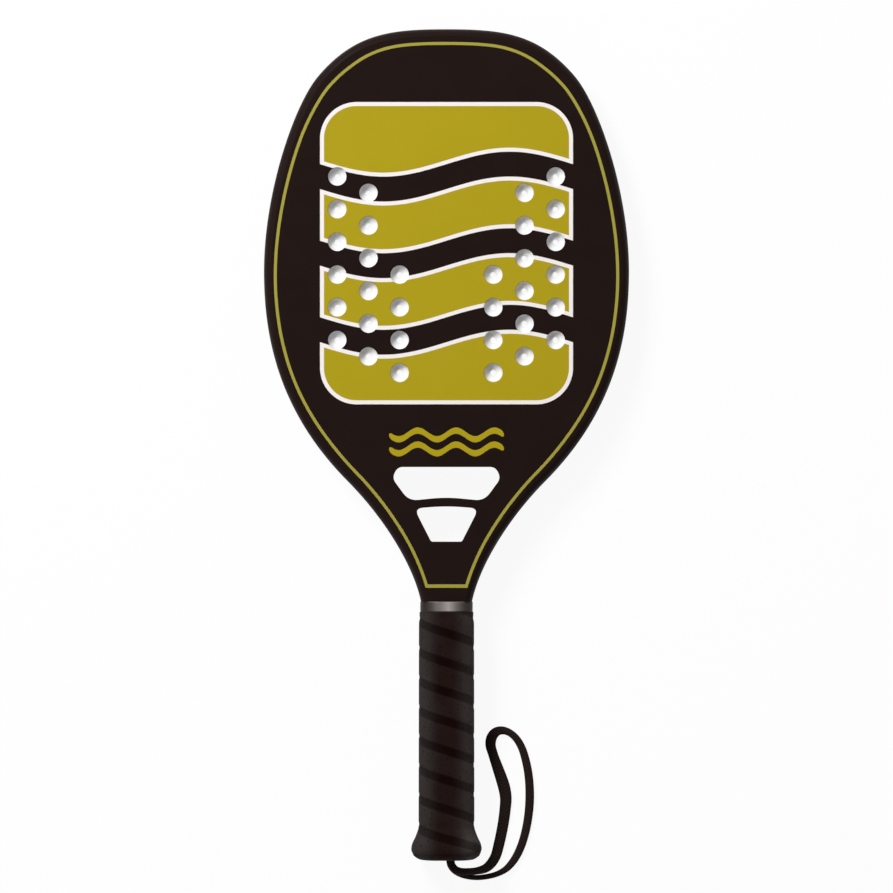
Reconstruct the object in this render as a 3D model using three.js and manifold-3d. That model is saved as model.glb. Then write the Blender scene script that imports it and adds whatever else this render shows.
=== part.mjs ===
// Beach tennis racket lying face up with its handle towards -Y, in millimetres.
// The origin is under the middle of its length, level with the lowest line of the flared butt.
import * as THREE from "three";
import { mergeVertices } from "three/addons/utils/BufferGeometryUtils.js";
import Module from "manifold-3d";

const wasm = await Module();
wasm.setup();

// Whole racket
const racketLength = 500;
const headWidth = 219.6;
const headThickness = 22;
const handleLength = 155.8;
const fitGap = 0.3;
const cutOverrun = 2;

// Head: hollow hoop, foam core and two laminate faces let into the hoop
const faceThickness = 1.2;
const hoopWidth = 12;
const hoopWall = 1.8;
const edgeDepth = 4.5;
const edgeRise = 7.5;
const holeDiameter = 11;

// Throat: the sleeves that line its two windows, and the foam left between the upper one and the core
const linerWall = 0.9;
const windowMargin = 5.5;

// Handle: outer size of the wound grip, its flare, and the layers under it
const gripWidth = 33.6;
const gripThickness = 29.2;
const flareWidth = 42.6;
const flareThickness = 36.8;
const flareLength = 19.5;
const tapeThickness = 1.8;
const underlayThickness = 1.2;
const rimLength = 3.3;
const bevelShare = 0.43;

// Wound tape: one strip with a pressed channel along its middle
const windingLead = 35.33;
const seamWidth = 4.2;
const channelWidth = 3.8;
const channelDepth = 1;
const grooveBevel = 0.9;
const firstSeamFromButt = 30.9;

// Shells inside the handle, round the hoop's two legs
const palletWall = 0.8;
const legEdgeShare = 0.64;
const legWallShare = 0.25;

// Butt cap, its tacks, the strap's eyelet and knot
const skirtLength = 34;
const skirtWall = 1;
const ledgeWidth = 2;
const ledgeFromButt = 14;
const endWall = 3;
const tackFromButt = 24;
const tackLength = 6.4;
const tackPointLength = 1.5;
const tackRadius = 0.5;
const tackHeadRadius = 1.5;
const tackHeadThickness = 0.5;
const tackClearance = 0.3;
const strapDiameter = 4.6;
const strandGap = 0.5;
const strapReach = 80;
const strapHoleX = 2.4;
const strapClearance = 0.5;
const eyeletWall = 1;
const eyeletFlange = 1.2;
const eyeletFlangeThickness = 0.8;
const knotWidth = 11;
const knotLength = 8.6;
const knotHeight = 13;

// Collar between the head and the grip, with the strip that ties down the tape's end under it
const collarLength = 6;
const collarSideInset = 1;
const collarTopInset = 1.3;
const collarEndInset = 0.5;
const collarBevelShare = 0.52;
const endTapeThickness = 0.6;
const endTapeLength = 5.2;

// How finely the curves are cut
const outlineSteps = [9, 6, 8, 7];
const holeSteps = 6;
const windowSteps = 4;
const bridgeSteps = 20;
const strapSteps = 76;
const strapSides = 8;
const strapTailSides = 10;
const roundSides = 16;

// Where points stand along each side of the handle's octagon, which cuts its corners off
const coarseShares = [0.12, 0.88];
const fineShares = [0.12, 0.5, 0.88];

// How much shorter a bevel at 45 degrees gets for each unit that an octagon's sides move in
const bevelShortening = 2 - Math.SQRT2;

// Places worked out from the sizes
const tipY = racketLength / 2;
const buttY = -racketLength / 2;
const neckY = buttY + handleLength;
const headLength = tipY - neckY;
const middleZ = flareThickness / 2;
const halfHead = headThickness / 2;
const halfCore = halfHead - faceThickness;
const handleTopY = neckY - fitGap;
const collarEndY = handleTopY - collarLength;
const gripTopY = collarEndY - fitGap;
const gripEndY = buttY + rimLength + fitGap;
const underlayOuter = tapeThickness + fitGap;
const underlayInner = underlayOuter + underlayThickness;
const shellOuter = underlayInner + fitGap;
const skirtInner = shellOuter + skirtWall;
const palletStep = skirtInner + fitGap;
const legEndY = buttY + ledgeFromButt + fitGap;
const legOuterHalf = gripWidth / 2 - palletStep - palletWall - fitGap;
const legHalfThickness = gripThickness / 2 - palletStep - palletWall - fitGap;
const endTapeInner = shellOuter - fitGap;
const endTapeOuter = endTapeInner - endTapeThickness;
const collarInner = endTapeOuter - fitGap;
const strapRadius = strapDiameter / 2;
const strapSpacing = strapDiameter + strandGap;
const slotRadius = strapRadius + strapClearance;

// Half outline of the head from the tip to the neck as four curves. Each point has a share of half the
// head's width, and a share of the head's length measured from the neck.
const outlineShares = [
  [[0, 1], [0.3, 1], [0.499, 0.994], [0.7, 0.919]],
  [[0.7, 0.919], [0.831, 0.871], [1, 0.716], [1, 0.577]],
  [[1, 0.577], [1, 0.467], [0.929, 0.335], [0.544, 0.211]],
  [[0.544, 0.211], [0.335, 0.144], [0.18, 0.061], [0.14, 0]],
];

// Windows: corners of the right half, in the same shares as the outline, each with the share of half its
// shorter side that the rounding takes
const upperWindowShares = [
  [0, 0.1824, 0.74],
  [0.2068, 0.176, 0.68],
  [0.2976, 0.2155, 0.92],
  [0.2686, 0.2351, 0.92],
];
const lowerWindowShares = [[0.0842, 0.1045, 0.12], [0.1773, 0.1629, 0.57], [0, 0.1671, 0.92]];

// Bar between the windows: where it ends and how far it has sunk there, in the same shares
const bridgeEndShares = [0.546, 0.0398];

// Holes: the first row's place below the tip and the step between rows as shares of the head's length,
// and the step between columns as a share of its width
const firstHoleShare = 0.2577;
const holeRowShare = 0.0571;
const holeColumnShare = 0.0854;

// Columns of holes right of the centre line, mirrored to the left: where each stands in column steps,
// where it starts in row steps below the first hole, and how many holes it has
const holeColumns = [
  { column: 3.5, start: 0, holes: 6 },
  { column: 2.5, start: 0.5, holes: 6 },
  { column: 1.5, start: 3, holes: 4 },
];

// Swell of the butt's flare: share of the flare's length from the end, share of its extra width
const flareShares = [
  [0, -0.4],
  [0.06, 0.1],
  [0.12, 0.56],
  [0.19, 0.82],
  [0.26, 0.96],
  [0.37, 1],
  [0.51, 0.88],
  [0.59, 0.73],
  [0.68, 0.5],
  [0.78, 0.33],
  [0.88, 0.17],
  [1, 0],
];

// Centre line of the free strap: out of the butt's upper hole, round the loop on the ground and back. X, and
// Y from the butt, are shares of the strap's reach beside the handle, and Z of the handle's middle height.
const strapRouteShares = [
  [0.03, -0.004, 1.139],
  [0.033, -0.025, 1.136],
  [0.048, -0.052, 1.109],
  [0.072, -0.074, 1.065],
  [0.111, -0.084, 0.978],
  [0.168, -0.085, 0.832],
  [0.237, -0.08, 0.609],
  [0.301, -0.06, 0.391],
  [0.348, -0.015, 0.239],
  [0.369, 0.023, 0.179],
  [0.395, 0.114, 0.136],
  [0.415, 0.204, 0.133],
  [0.443, 0.385, 0.149],
  [0.447, 0.46, 0.152],
  [0.438, 0.531, 0.158],
  [0.414, 0.611, 0.163],
  [0.383, 0.701, 0.168],
  [0.351, 0.793, 0.174],
  [0.331, 0.871, 0.179],
  [0.344, 0.929, 0.182],
  [0.378, 0.965, 0.185],
  [0.426, 0.974, 0.185],
  [0.479, 0.955, 0.185],
  [0.53, 0.907, 0.182],
  [0.566, 0.845, 0.179],
  [0.597, 0.746, 0.174],
  [0.628, 0.468, 0.158],
  [0.617, 0.332, 0.147],
  [0.594, 0.204, 0.136],
  [0.555, 0.082, 0.13],
  [0.508, -0.006, 0.128],
  [0.446, -0.074, 0.128],
  [0.378, -0.11, 0.133],
  [0.301, -0.129, 0.158],
  [0.223, -0.135, 0.25],
  [0.15, -0.124, 0.435],
  [0.093, -0.099, 0.641],
  [0.051, -0.064, 0.788],
  [0.033, -0.028, 0.856],
  [0.03, -0.004, 0.861],
];

const finishes = {
  paint: { color: 0x231815, roughness: 0.32, metalness: 0 },
  laminate: { color: 0x1c1a1a, roughness: 0.5, metalness: 0 },
  foam: { color: 0xe8e6e1, roughness: 0.9, metalness: 0 },
  shell: { color: 0x5a5550, roughness: 0.8, metalness: 0 },
  plastic: { color: 0x241c1a, roughness: 0.55, metalness: 0 },
  steel: { color: 0xa8a8aa, roughness: 0.35, metalness: 1 },
  collar: { color: 0x8f8a86, roughness: 0.35, metalness: 1 },
  underlay: { color: 0x140b0a, roughness: 0.9, metalness: 0 },
  tape: { color: 0x2a2423, roughness: 0.8, metalness: 0 },
  strap: { color: 0x231815, roughness: 0.85, metalness: 0 },
};

const racket = new THREE.Group();
racket.name = "beach_tennis_racket";

// Adds a named mesh with a material of its own.
function addPiece(name, geometry, finish) {
  geometry.computeVertexNormals();
  const piece = new THREE.Mesh(geometry, new THREE.MeshStandardMaterial(finishes[finish]));
  piece.name = name;
  racket.add(piece);
}

// A closed geometry as a solid that can be joined and cut.
function solidOf(geometry) {
  const bare = geometry.clone();
  bare.deleteAttribute("normal");
  bare.deleteAttribute("uv");
  const merged = mergeVertices(bare);
  return new wasm.Manifold(
    new wasm.Mesh({
      numProp: 3,
      vertProperties: merged.attributes.position.array,
      triVerts: new Uint32Array(merged.index.array),
    }),
  );
}

function geometryOf(solid) {
  const mesh = solid.getMesh();
  const geometry = new THREE.BufferGeometry();
  geometry.setAttribute("position", new THREE.BufferAttribute(new Float32Array(mesh.vertProperties), 3));
  geometry.setIndex(new THREE.BufferAttribute(new Uint32Array(mesh.triVerts), 1));
  return geometry;
}

// Cuts every tool geometry out of the first one.
function cut(body, ...tools) {
  let solid = solidOf(body);
  for (const tool of tools) solid = solid.subtract(solidOf(tool));
  return geometryOf(solid);
}

function common(body, tool) {
  return geometryOf(solidOf(body).intersect(solidOf(tool)));
}

// Triangle list turned round if it would enclose a negative volume.
function facingOut(points, index) {
  let volume = 0;
  for (let i = 0; i < index.length; i += 3) {
    const [a, b, c] = [points[index[i]], points[index[i + 1]], points[index[i + 2]]];
    volume += a.dot(b.clone().cross(c));
  }
  return volume < 0 ? index.reverse() : index;
}

// Skin through rings of equal count, closed at both ends by the flat outline given for the end rings.
function loft(rings, endOutline) {
  const count = rings[0].length;
  const points = rings.flat();
  const index = [];
  for (let i = 0; i + 1 < rings.length; i++) {
    for (let j = 0; j < count; j++) {
      const a = i * count + j;
      const b = i * count + ((j + 1) % count);
      index.push(a, b, b + count, a, b + count, a + count);
    }
  }
  const last = (rings.length - 1) * count;
  const clockwise = THREE.ShapeUtils.isClockWise(endOutline);
  for (const [a, second, third] of THREE.ShapeUtils.triangulateShape(endOutline, [])) {
    const [b, c] = clockwise ? [third, second] : [second, third];
    index.push(a, c, b, last + a, last + b, last + c);
  }
  const geometry = new THREE.BufferGeometry().setFromPoints(points);
  geometry.setIndex(facingOut(points, index));
  return geometry;
}

// Flat shape extruded upwards between two heights.
function slab(shape, low, high, steps) {
  const settings = { depth: high - low, bevelEnabled: false, curveSegments: steps };
  return new THREE.ExtrudeGeometry(shape, settings).translate(0, 0, low);
}

// Shape in the X and Z directions extruded from one Y to a lower one.
function alongY(shape, high, low, steps) {
  const settings = { depth: high - low, bevelEnabled: false, curveSegments: steps };
  return new THREE.ExtrudeGeometry(shape, settings).rotateX(Math.PI / 2).translate(0, high, 0);
}

function box(low, high) {
  const size = [0, 1, 2].map((i) => high[i] - low[i]);
  const middle = [0, 1, 2].map((i) => (high[i] + low[i]) / 2);
  return new THREE.BoxGeometry(...size).translate(...middle);
}

// Outline

// Place on the head from a share of half its width and a share of its length measured from the neck.
function headPlace(x, y) {
  return new THREE.Vector2((x * headWidth) / 2, neckY + y * headLength);
}

// Stations round the head from the right of the neck over the tip to its left. Each has a point of the
// outline and the direction into the head, which is level at the neck so that the neck ends flat. The
// second station is one wall above the neck, where the hollow inside the hoop begins to widen.
function outlineStations() {
  const right = [];
  outlineShares.forEach((shares, number) => {
    const corners = shares.map(([x, y]) => headPlace(x, y));
    const curve = new THREE.CubicBezierCurve(...corners);
    for (let step = number ? 1 : 0; step <= outlineSteps[number]; step++) {
      const share = step / outlineSteps[number];
      const along = curve.getTangent(share);
      right.push({ point: curve.getPoint(share), inward: new THREE.Vector2(along.y, -along.x) });
    }
  });
  const neck = right.at(-1);
  const next = right.at(-2);
  const share = hoopWall / (next.point.y - neck.point.y);
  neck.inward.set(-1, 0);
  right.splice(-1, 0, { point: neck.point.clone().lerp(next.point, share), inward: neck.inward.clone() });
  const left = right.slice(1).map(({ point, inward }) => ({
    point: new THREE.Vector2(-point.x, point.y),
    inward: new THREE.Vector2(-inward.x, inward.y),
  }));
  return [...right.reverse(), ...left];
}

const stations = outlineStations();

// The outline moved into the head by a distance.
function insetOutline(distance) {
  return stations.map(({ point, inward }) => point.clone().addScaledVector(inward, distance));
}

// Holes and windows

function holeCentres() {
  const centres = [];
  for (const { column, start, holes } of holeColumns) {
    for (let row = 0; row < holes; row++) {
      const x = column * holeColumnShare * headWidth;
      const y = tipY - (firstHoleShare + (start + row) * holeRowShare) * headLength;
      centres.push([x, y], [-x, y]);
    }
  }
  return centres;
}

function roundHole(x, y, radius) {
  return new THREE.Path().absarc(x, y, radius, 0, 2 * Math.PI, true);
}

// Window outline from the corners of its right half, each rounded by a curve that starts and ends at a
// share of the shorter side next to it.
function windowOutline(cornerShares) {
  const right = cornerShares.map(([x, y, rounding]) => ({ at: headPlace(x, y), rounding }));
  const left = right
    .filter(({ at }) => at.x > 0)
    .reverse()
    .map(({ at, rounding }) => ({ at: new THREE.Vector2(-at.x, at.y), rounding }));
  const order = [...right, ...left];
  const shape = new THREE.Shape();
  order.forEach(({ at, rounding }, i) => {
    const before = order.at(i - 1).at;
    const after = order[(i + 1) % order.length].at;
    const reach = (rounding * Math.min(at.distanceTo(before), at.distanceTo(after))) / 2;
    const start = at.clone().addScaledVector(before.clone().sub(at).normalize(), reach);
    const end = at.clone().addScaledVector(after.clone().sub(at).normalize(), reach);
    if (i) shape.lineTo(start.x, start.y);
    else shape.moveTo(start.x, start.y);
    shape.quadraticCurveTo(at.x, at.y, end.x, end.y);
  });
  shape.closePath();
  const points = shape.getPoints(windowSteps);
  if (points[0].distanceTo(points.at(-1)) < fitGap) points.pop();
  return points;
}

// A closed outline grown outwards by a distance.
function grown(points, distance) {
  const turn = THREE.ShapeUtils.area(points) > 0 ? 1 : -1;
  return points.map((point, i) => {
    const before = point.clone().sub(points.at(i - 1)).normalize();
    const after = points[(i + 1) % points.length].clone().sub(point).normalize();
    const along = before.add(after).normalize();
    return new THREE.Vector2(point.x + along.y * distance * turn, point.y - along.x * distance * turn);
  });
}

const windows = {
  upper: windowOutline(upperWindowShares),
  lower: windowOutline(lowerWindowShares),
};

// Arched bar between the windows: its middle line sinks with the square of the distance from the centre.
const onCentreLine = (outline) => outline.filter(({ x }) => Math.abs(x) < fitGap).map(({ y }) => y);
const upperFloorY = Math.min(...onCentreLine(windows.upper));
const lowerCeilingY = Math.max(...onCentreLine(windows.lower));
const bridgeY = (upperFloorY + lowerCeilingY) / 2;
const bridgeHeight = upperFloorY - lowerCeilingY - 2 * linerWall - 3 * fitGap;

const bridgeHalfSpan = (bridgeEndShares[0] * headWidth) / 2;
const bridgeSag = bridgeEndShares[1] * headLength;

function bridgeLine(offset) {
  const line = [];
  for (let step = 0; step <= bridgeSteps; step++) {
    const share = (2 * step) / bridgeSteps - 1;
    line.push(new THREE.Vector2(share * bridgeHalfSpan, bridgeY + offset - bridgeSag * share * share));
  }
  return line;
}

// Hoop

// Half section of the hoop, outer edge first: distance in from the outline and height over the middle.
function hoopSection({ width, half, edge, rise, rebate, shelf }) {
  const upper = [0, 1, 2, 3].map((step) => {
    const angle = (step * Math.PI) / 6;
    return [edge * (1 - Math.cos(angle)), half - rise * (1 - Math.sin(angle))];
  });
  upper.push([edge + shelf, half - rebate], [width, half - rebate]);
  return mirrored(upper);
}

function cavitySection({ width, half, edge, rise, rebate, wall }) {
  const upper = [0, 1, 2].map((step) => {
    const angle = (step * Math.PI) / 4;
    const lift = (rise - rebate - wall) * Math.sin(angle);
    return [edge - (edge - wall) * Math.cos(angle), half - rise + lift];
  });
  upper.push([width - wall, half - rebate - wall]);
  return mirrored(upper);
}

function mirrored(upper) {
  return [...upper, ...upper.map(([x, z]) => [x, -z]).reverse()];
}

// Half width of the neck, and where the legs' inner sides run: just outside the hoop's inner side there,
// so that the step from the neck to a leg lies inside the neck's section.
const neckHalfWidth = (outlineShares.at(-1).at(-1)[0] * headWidth) / 2;
const legInnerHalf = neckHalfWidth - hoopWidth + fitGap;

const legWidth = legOuterHalf - legInnerHalf;
const legEdge = legEdgeShare * legWidth;

const headPart = {
  width: hoopWidth,
  half: halfHead,
  edge: edgeDepth,
  rise: edgeRise,
  rebate: faceThickness,
  shelf: 0,
  wall: hoopWall,
};
const legPart = {
  width: legWidth,
  half: legHalfThickness,
  edge: legEdge,
  rise: legEdge,
  rebate: 0,
  shelf: (legWidth - legEdge) / 2,
  wall: legWallShare * legWidth,
};

// A ring of the hoop at a station: the section laid along the inward direction.
function hoopRing({ point, inward }, section) {
  return section.map(
    ([depth, height]) =>
      new THREE.Vector3(point.x + inward.x * depth, point.y + inward.y * depth, middleZ + height),
  );
}

function legStation(side, y) {
  return { point: new THREE.Vector2(side * legOuterHalf, y), inward: new THREE.Vector2(-side, 0) };
}

// Loft through a leg, round the head and back down the other leg. The first and last head stations are
// skipped for the hollow, which leaves a wall behind the neck's shoulder.
function hoopLoft(makeSection, endY, skipped) {
  const legSection = makeSection(legPart);
  const headSection = makeSection(headPart);
  const round = stations.slice(skipped, stations.length - skipped);
  const shoulderY = round[0].point.y;
  const rings = [
    hoopRing(legStation(1, endY), legSection),
    hoopRing(legStation(1, shoulderY), legSection),
    ...round.map((station) => hoopRing(station, headSection)),
    hoopRing(legStation(-1, shoulderY), legSection),
    hoopRing(legStation(-1, endY), legSection),
  ];
  return loft(rings, legSection.map(([x, z]) => new THREE.Vector2(x, z)));
}

const hoopOutside = hoopLoft(hoopSection, legEndY, 0);
const hoopHollow = hoopLoft(cavitySection, legEndY - cutOverrun, 1);
addPiece("frame_hoop", cut(hoopOutside, hoopHollow), "paint");

// Foam core and faces

function headSlab(inset, low, high, withWindows) {
  const shape = new THREE.Shape(insetOutline(inset));
  for (const [x, y] of holeCentres()) shape.holes.push(roundHole(x, y, holeDiameter / 2));
  if (withWindows) shape.holes.push(new THREE.Path(windows.upper), new THREE.Path(windows.lower));
  return slab(shape, low, high, holeSteps);
}

const coreEndY = Math.max(...windows.upper.map(({ y }) => y)) + windowMargin;
const coreInset = hoopWidth + fitGap;
const aboveThroat = box([-headWidth, coreEndY, 0], [headWidth, racketLength, flareThickness]);
const drilledCore = headSlab(coreInset, middleZ - halfCore, middleZ + halfCore, false);
addPiece("core_foam", common(drilledCore, aboveThroat), "foam");

const faceInset = edgeDepth + fitGap;
const faceFrontLow = middleZ + halfCore;
const faceBackLow = middleZ - halfHead;
addPiece("face_front", headSlab(faceInset, faceFrontLow, faceFrontLow + faceThickness, true), "paint");
addPiece("face_back", headSlab(faceInset, faceBackLow, faceBackLow + faceThickness, true), "paint");

// Throat

for (const [name, outline] of Object.entries(windows)) {
  const ring = new THREE.Shape(grown(outline, linerWall));
  ring.holes.push(new THREE.Path(outline));
  addPiece("window_liner_" + name, slab(ring, middleZ - halfCore, middleZ + halfCore, 1), "laminate");
}

const innerSlab = slab(new THREE.Shape(insetOutline(coreInset)), middleZ - halfCore, middleZ + halfCore, 1);

// Part of the space inside the hoop that a closed outline covers.
function throatPiece(outline) {
  return common(innerSlab, slab(new THREE.Shape(outline), 0, flareThickness, 1));
}

function linerPocket(outline) {
  return slab(new THREE.Shape(grown(outline, linerWall + fitGap)), 0, flareThickness, 1);
}

function corner(x, y) {
  return new THREE.Vector2(x, y);
}

const bridgeTop = bridgeLine(bridgeHeight / 2);
const bridgeBottom = bridgeLine(-bridgeHeight / 2);
addPiece("throat_bridge", throatPiece([...bridgeBottom, ...bridgeTop.reverse()]), "laminate");

const foamTopY = coreEndY - fitGap;
const foamEndY = neckY + fitGap;
const upperFoam = [
  ...bridgeLine(bridgeHeight / 2 + fitGap),
  corner(bridgeHalfSpan, foamTopY),
  corner(-bridgeHalfSpan, foamTopY),
];
const lowerFoam = [
  corner(-bridgeHalfSpan, foamEndY),
  corner(bridgeHalfSpan, foamEndY),
  ...bridgeLine(-bridgeHeight / 2 - fitGap).reverse(),
];
addPiece("throat_foam_upper", cut(throatPiece(upperFoam), linerPocket(windows.upper)), "foam");
addPiece("throat_foam_lower", cut(throatPiece(lowerFoam), linerPocket(windows.lower)), "foam");

// Handle sections

// Extra width of the flare at a height, as a share, on straight lines between the chosen points.
function swellAt(y) {
  const share = (y - buttY) / flareLength;
  if (share >= 1) return 0;
  const next = Math.max(flareShares.findIndex(([at]) => at > share), 1);
  const [low, from] = flareShares[next - 1];
  const [high, to] = flareShares[next];
  return from + ((to - from) * (share - low)) / (high - low);
}

// Ring of points round an octagon, at some shares along each of its eight sides.
function octagonRing(y, halfWidth, halfThickness, bevel, shares) {
  const flatX = halfWidth - bevel;
  const flatZ = halfThickness - bevel;
  const corners = [
    [halfWidth, -flatZ],
    [halfWidth, flatZ],
    [flatX, halfThickness],
    [-flatX, halfThickness],
    [-halfWidth, flatZ],
    [-halfWidth, -flatZ],
    [-flatX, -halfThickness],
    [flatX, -halfThickness],
  ];
  return corners.flatMap(([x, z], side) => {
    const [nextX, nextZ] = corners[(side + 1) % corners.length];
    return shares.map(
      (share) => new THREE.Vector3(x + (nextX - x) * share, y, middleZ + z + (nextZ - z) * share),
    );
  });
}

// Ring of the handle at a height, moved in from the grip's outer surface by a distance.
function handleRing(y, inset, shares) {
  const swell = swellAt(y);
  const halfWidth = (gripWidth + swell * (flareWidth - gripWidth)) / 2;
  const halfThickness = (gripThickness + swell * (flareThickness - gripThickness)) / 2;
  const bevel = bevelShare * halfThickness - inset * bevelShortening;
  return octagonRing(y, halfWidth - inset, halfThickness - inset, bevel, shares);
}

// Ring of the handle at a height as if it had no flare there.
function straightRing(y, inset) {
  return handleRing(neckY, inset, coarseShares).map((point) => point.setY(y));
}

function ringLoft(rings) {
  return loft(rings, rings[0].map((point) => new THREE.Vector2(point.x, point.z)));
}

// Loft of the handle through heights and insets.
function handleLoft(places, shares = coarseShares) {
  return ringLoft(places.map(([y, inset]) => handleRing(y, inset, shares)));
}

// Heights of the flare's chosen points between two heights, lowest first.
function flareHeights(low, high) {
  const heights = flareShares.map(([share]) => buttY + share * flareLength);
  return heights.filter((y) => y > low + fitGap && y < high - fitGap);
}

// Sleeve that follows the handle between two heights, from one inset to a deeper one.
function sleeve(low, high, outer, inner, shares) {
  const heights = [low, ...flareHeights(low, high), high];
  const bore = [low - cutOverrun, ...heights, high + cutOverrun];
  const boreSwell = (y) => Math.min(Math.max(y, low), high);
  const outside = handleLoft(heights.map((y) => [y, outer]), shares);
  const rings = bore.map((y) => {
    return handleRing(boreSwell(y), inner, shares).map((point) => point.setY(y));
  });
  return cut(outside, ringLoft(rings));
}

// Inside of the handle

const spacerHalfWidth = legInnerHalf - fitGap;
const tackY = buttY + tackFromButt;
const shellHalf = gripThickness / 2 - shellOuter;
const tackTop = shellHalf - tackHeadThickness;

// Drill along Z at the tacks' place, from one height over the handle's middle to another.
function tackDrill(radius, low, high) {
  const drill = new THREE.CylinderGeometry(radius, radius, high - low, roundSides).rotateX(Math.PI / 2);
  return drill.translate(0, tackY, middleZ + (low + high) / 2);
}

const shankHole = tackRadius + tackClearance;
const throughShank = tackDrill(shankHole, -shellHalf - cutOverrun, shellHalf + cutOverrun);

const tackTip = tackTop - tackLength;
const spacer = box(
  [-spacerHalfWidth, legEndY, middleZ - legHalfThickness],
  [spacerHalfWidth, handleTopY, middleZ + legHalfThickness],
);
const spacerDrills = [
  tackDrill(shankHole, tackTip - fitGap, legHalfThickness + cutOverrun),
  tackDrill(shankHole, -legHalfThickness - cutOverrun, fitGap - tackTip),
];
addPiece("handle_core", cut(spacer, ...spacerDrills), "shell");

// Half shells that give the handle its octagon: stepped in where the butt cap's skirt goes over them.
const socketHalfWidth = legOuterHalf + fitGap;
const socketHalf = legHalfThickness + fitGap;
const skirtTopY = buttY + skirtLength;
const socketBevel = legEdge * bevelShortening;
const socketRing = (y) => octagonRing(y, socketHalfWidth, socketHalf, socketBevel, coarseShares);
const palletBody = ringLoft([
  straightRing(legEndY, palletStep),
  straightRing(skirtTopY + fitGap, palletStep),
  straightRing(skirtTopY + fitGap, shellOuter),
  straightRing(handleTopY, shellOuter),
]);
const legSpace = ringLoft([socketRing(legEndY - cutOverrun), socketRing(handleTopY + cutOverrun)]);
const palletPair = cut(palletBody, legSpace, throughShank);
for (const [name, side] of [["front", 1], ["back", -1]]) {
  const near = middleZ + (side * fitGap) / 2;
  const far = middleZ + side * flareThickness;
  const half = box(
    [-flareWidth, buttY, Math.min(near, far)],
    [flareWidth, neckY, Math.max(near, far)],
  );
  addPiece("handle_pallet_" + name, common(palletPair, half), "shell");
}

// Butt cap

// Upright slot shape round the strap's two strands.
function slotShape(radius) {
  const shape = new THREE.Shape();
  shape.absarc(strapHoleX, middleZ + strapSpacing / 2, radius, 0, Math.PI, false);
  shape.absarc(strapHoleX, middleZ - strapSpacing / 2, radius, Math.PI, 2 * Math.PI, false);
  shape.closePath();
  return shape;
}

const ledgeY = buttY + ledgeFromButt;
const rimTopY = buttY + rimLength;
const capOutside = handleLoft([
  ...flareHeights(buttY - cutOverrun, rimTopY).map((y) => [y, 0]),
  [rimTopY, 0],
  [rimTopY, shellOuter],
  ...flareHeights(rimTopY, skirtTopY).map((y) => [y, shellOuter]),
  [skirtTopY, shellOuter],
]);
const capInside = ringLoft([
  straightRing(buttY + endWall, skirtInner + ledgeWidth),
  straightRing(ledgeY, skirtInner + ledgeWidth),
  straightRing(ledgeY, skirtInner),
  straightRing(skirtTopY + cutOverrun, skirtInner),
]);
const eyeletRadius = slotRadius + eyeletWall;
const flangeRadius = eyeletRadius + eyeletFlange;
const flangeY = buttY + eyeletFlangeThickness;
addPiece(
  "butt_cap",
  cut(
    capOutside,
    capInside,
    alongY(slotShape(eyeletRadius + fitGap), ledgeY, buttY - cutOverrun, holeSteps),
    alongY(slotShape(flangeRadius + fitGap), flangeY, buttY - cutOverrun, holeSteps),
    throughShank,
    tackDrill(tackHeadRadius + fitGap, tackTop, shellHalf + cutOverrun),
    tackDrill(tackHeadRadius + fitGap, -shellHalf - cutOverrun, -tackTop),
  ),
  "plastic",
);

// Headed tacks that hold the cap: a head, a shank and a point turned about Z.
for (const [name, side] of [["front", 1], ["back", -1]]) {
  const profile = [
    [0, tackTop + tackHeadThickness],
    [tackHeadRadius, tackTop + tackHeadThickness],
    [tackHeadRadius, tackTop],
    [tackRadius, tackTop],
    [tackRadius, tackTip + tackPointLength],
    [0, tackTip],
  ].map(([radius, height]) => new THREE.Vector2(radius, height));
  const tack = new THREE.LatheGeometry(profile.reverse(), roundSides).rotateX((side * Math.PI) / 2);
  addPiece("butt_cap_tack_" + name, tack.translate(0, tackY, middleZ), "steel");
}

const eyeletTube = solidOf(alongY(slotShape(eyeletRadius), buttY + endWall, buttY, holeSteps));
const eyeletPlate = solidOf(alongY(slotShape(flangeRadius), flangeY, buttY, holeSteps));
const eyeletBore = alongY(slotShape(slotRadius), ledgeY, buttY - cutOverrun, holeSteps);
addPiece("strap_eyelet", cut(geometryOf(eyeletTube.add(eyeletPlate)), eyeletBore), "steel");

// Strap

const knotY = buttY + endWall + knotLength / 2;
const knot = new THREE.SphereGeometry(1, roundSides, roundSides / 2);
knot.scale(knotWidth / 2, knotLength / 2, knotHeight / 2).translate(strapHoleX, knotY, middleZ);
addPiece("strap_knot", knot, "strap");

// Where the knot's surface lies at the height of a strand.
const knotSide = Math.sqrt(1 - (strapSpacing / knotHeight) ** 2) * (knotLength / 2);
const tailTopY = knotY - knotSide - fitGap;
for (const [name, side] of [["upper", 1], ["lower", -1]]) {
  const tail = new THREE.CylinderGeometry(strapRadius, strapRadius, tailTopY - buttY, strapTailSides);
  const z = middleZ + (side * strapSpacing) / 2;
  addPiece("strap_tail_" + name, tail.translate(strapHoleX, (tailTopY + buttY) / 2, z), "strap");
}

const strapPlaces = strapRouteShares.map(
  ([x, y, z]) => new THREE.Vector3(x * strapReach, buttY + y * strapReach, z * middleZ),
);
const strapCurve = new THREE.CatmullRomCurve3(strapPlaces);
const strapSection = new THREE.Shape();
strapSection.absarc(0, 0, strapRadius, 0, 2 * Math.PI, false);
const strapSettings = {
  steps: strapSteps,
  extrudePath: strapCurve,
  curveSegments: strapSides / 2,
  bevelEnabled: false,
};
addPiece("wrist_strap", new THREE.ExtrudeGeometry(strapSection, strapSettings), "strap");

// Grip

const underlay = sleeve(gripEndY, gripTopY, underlayOuter, underlayInner, coarseShares);
addPiece("grip_underlay", underlay, "underlay");

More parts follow.
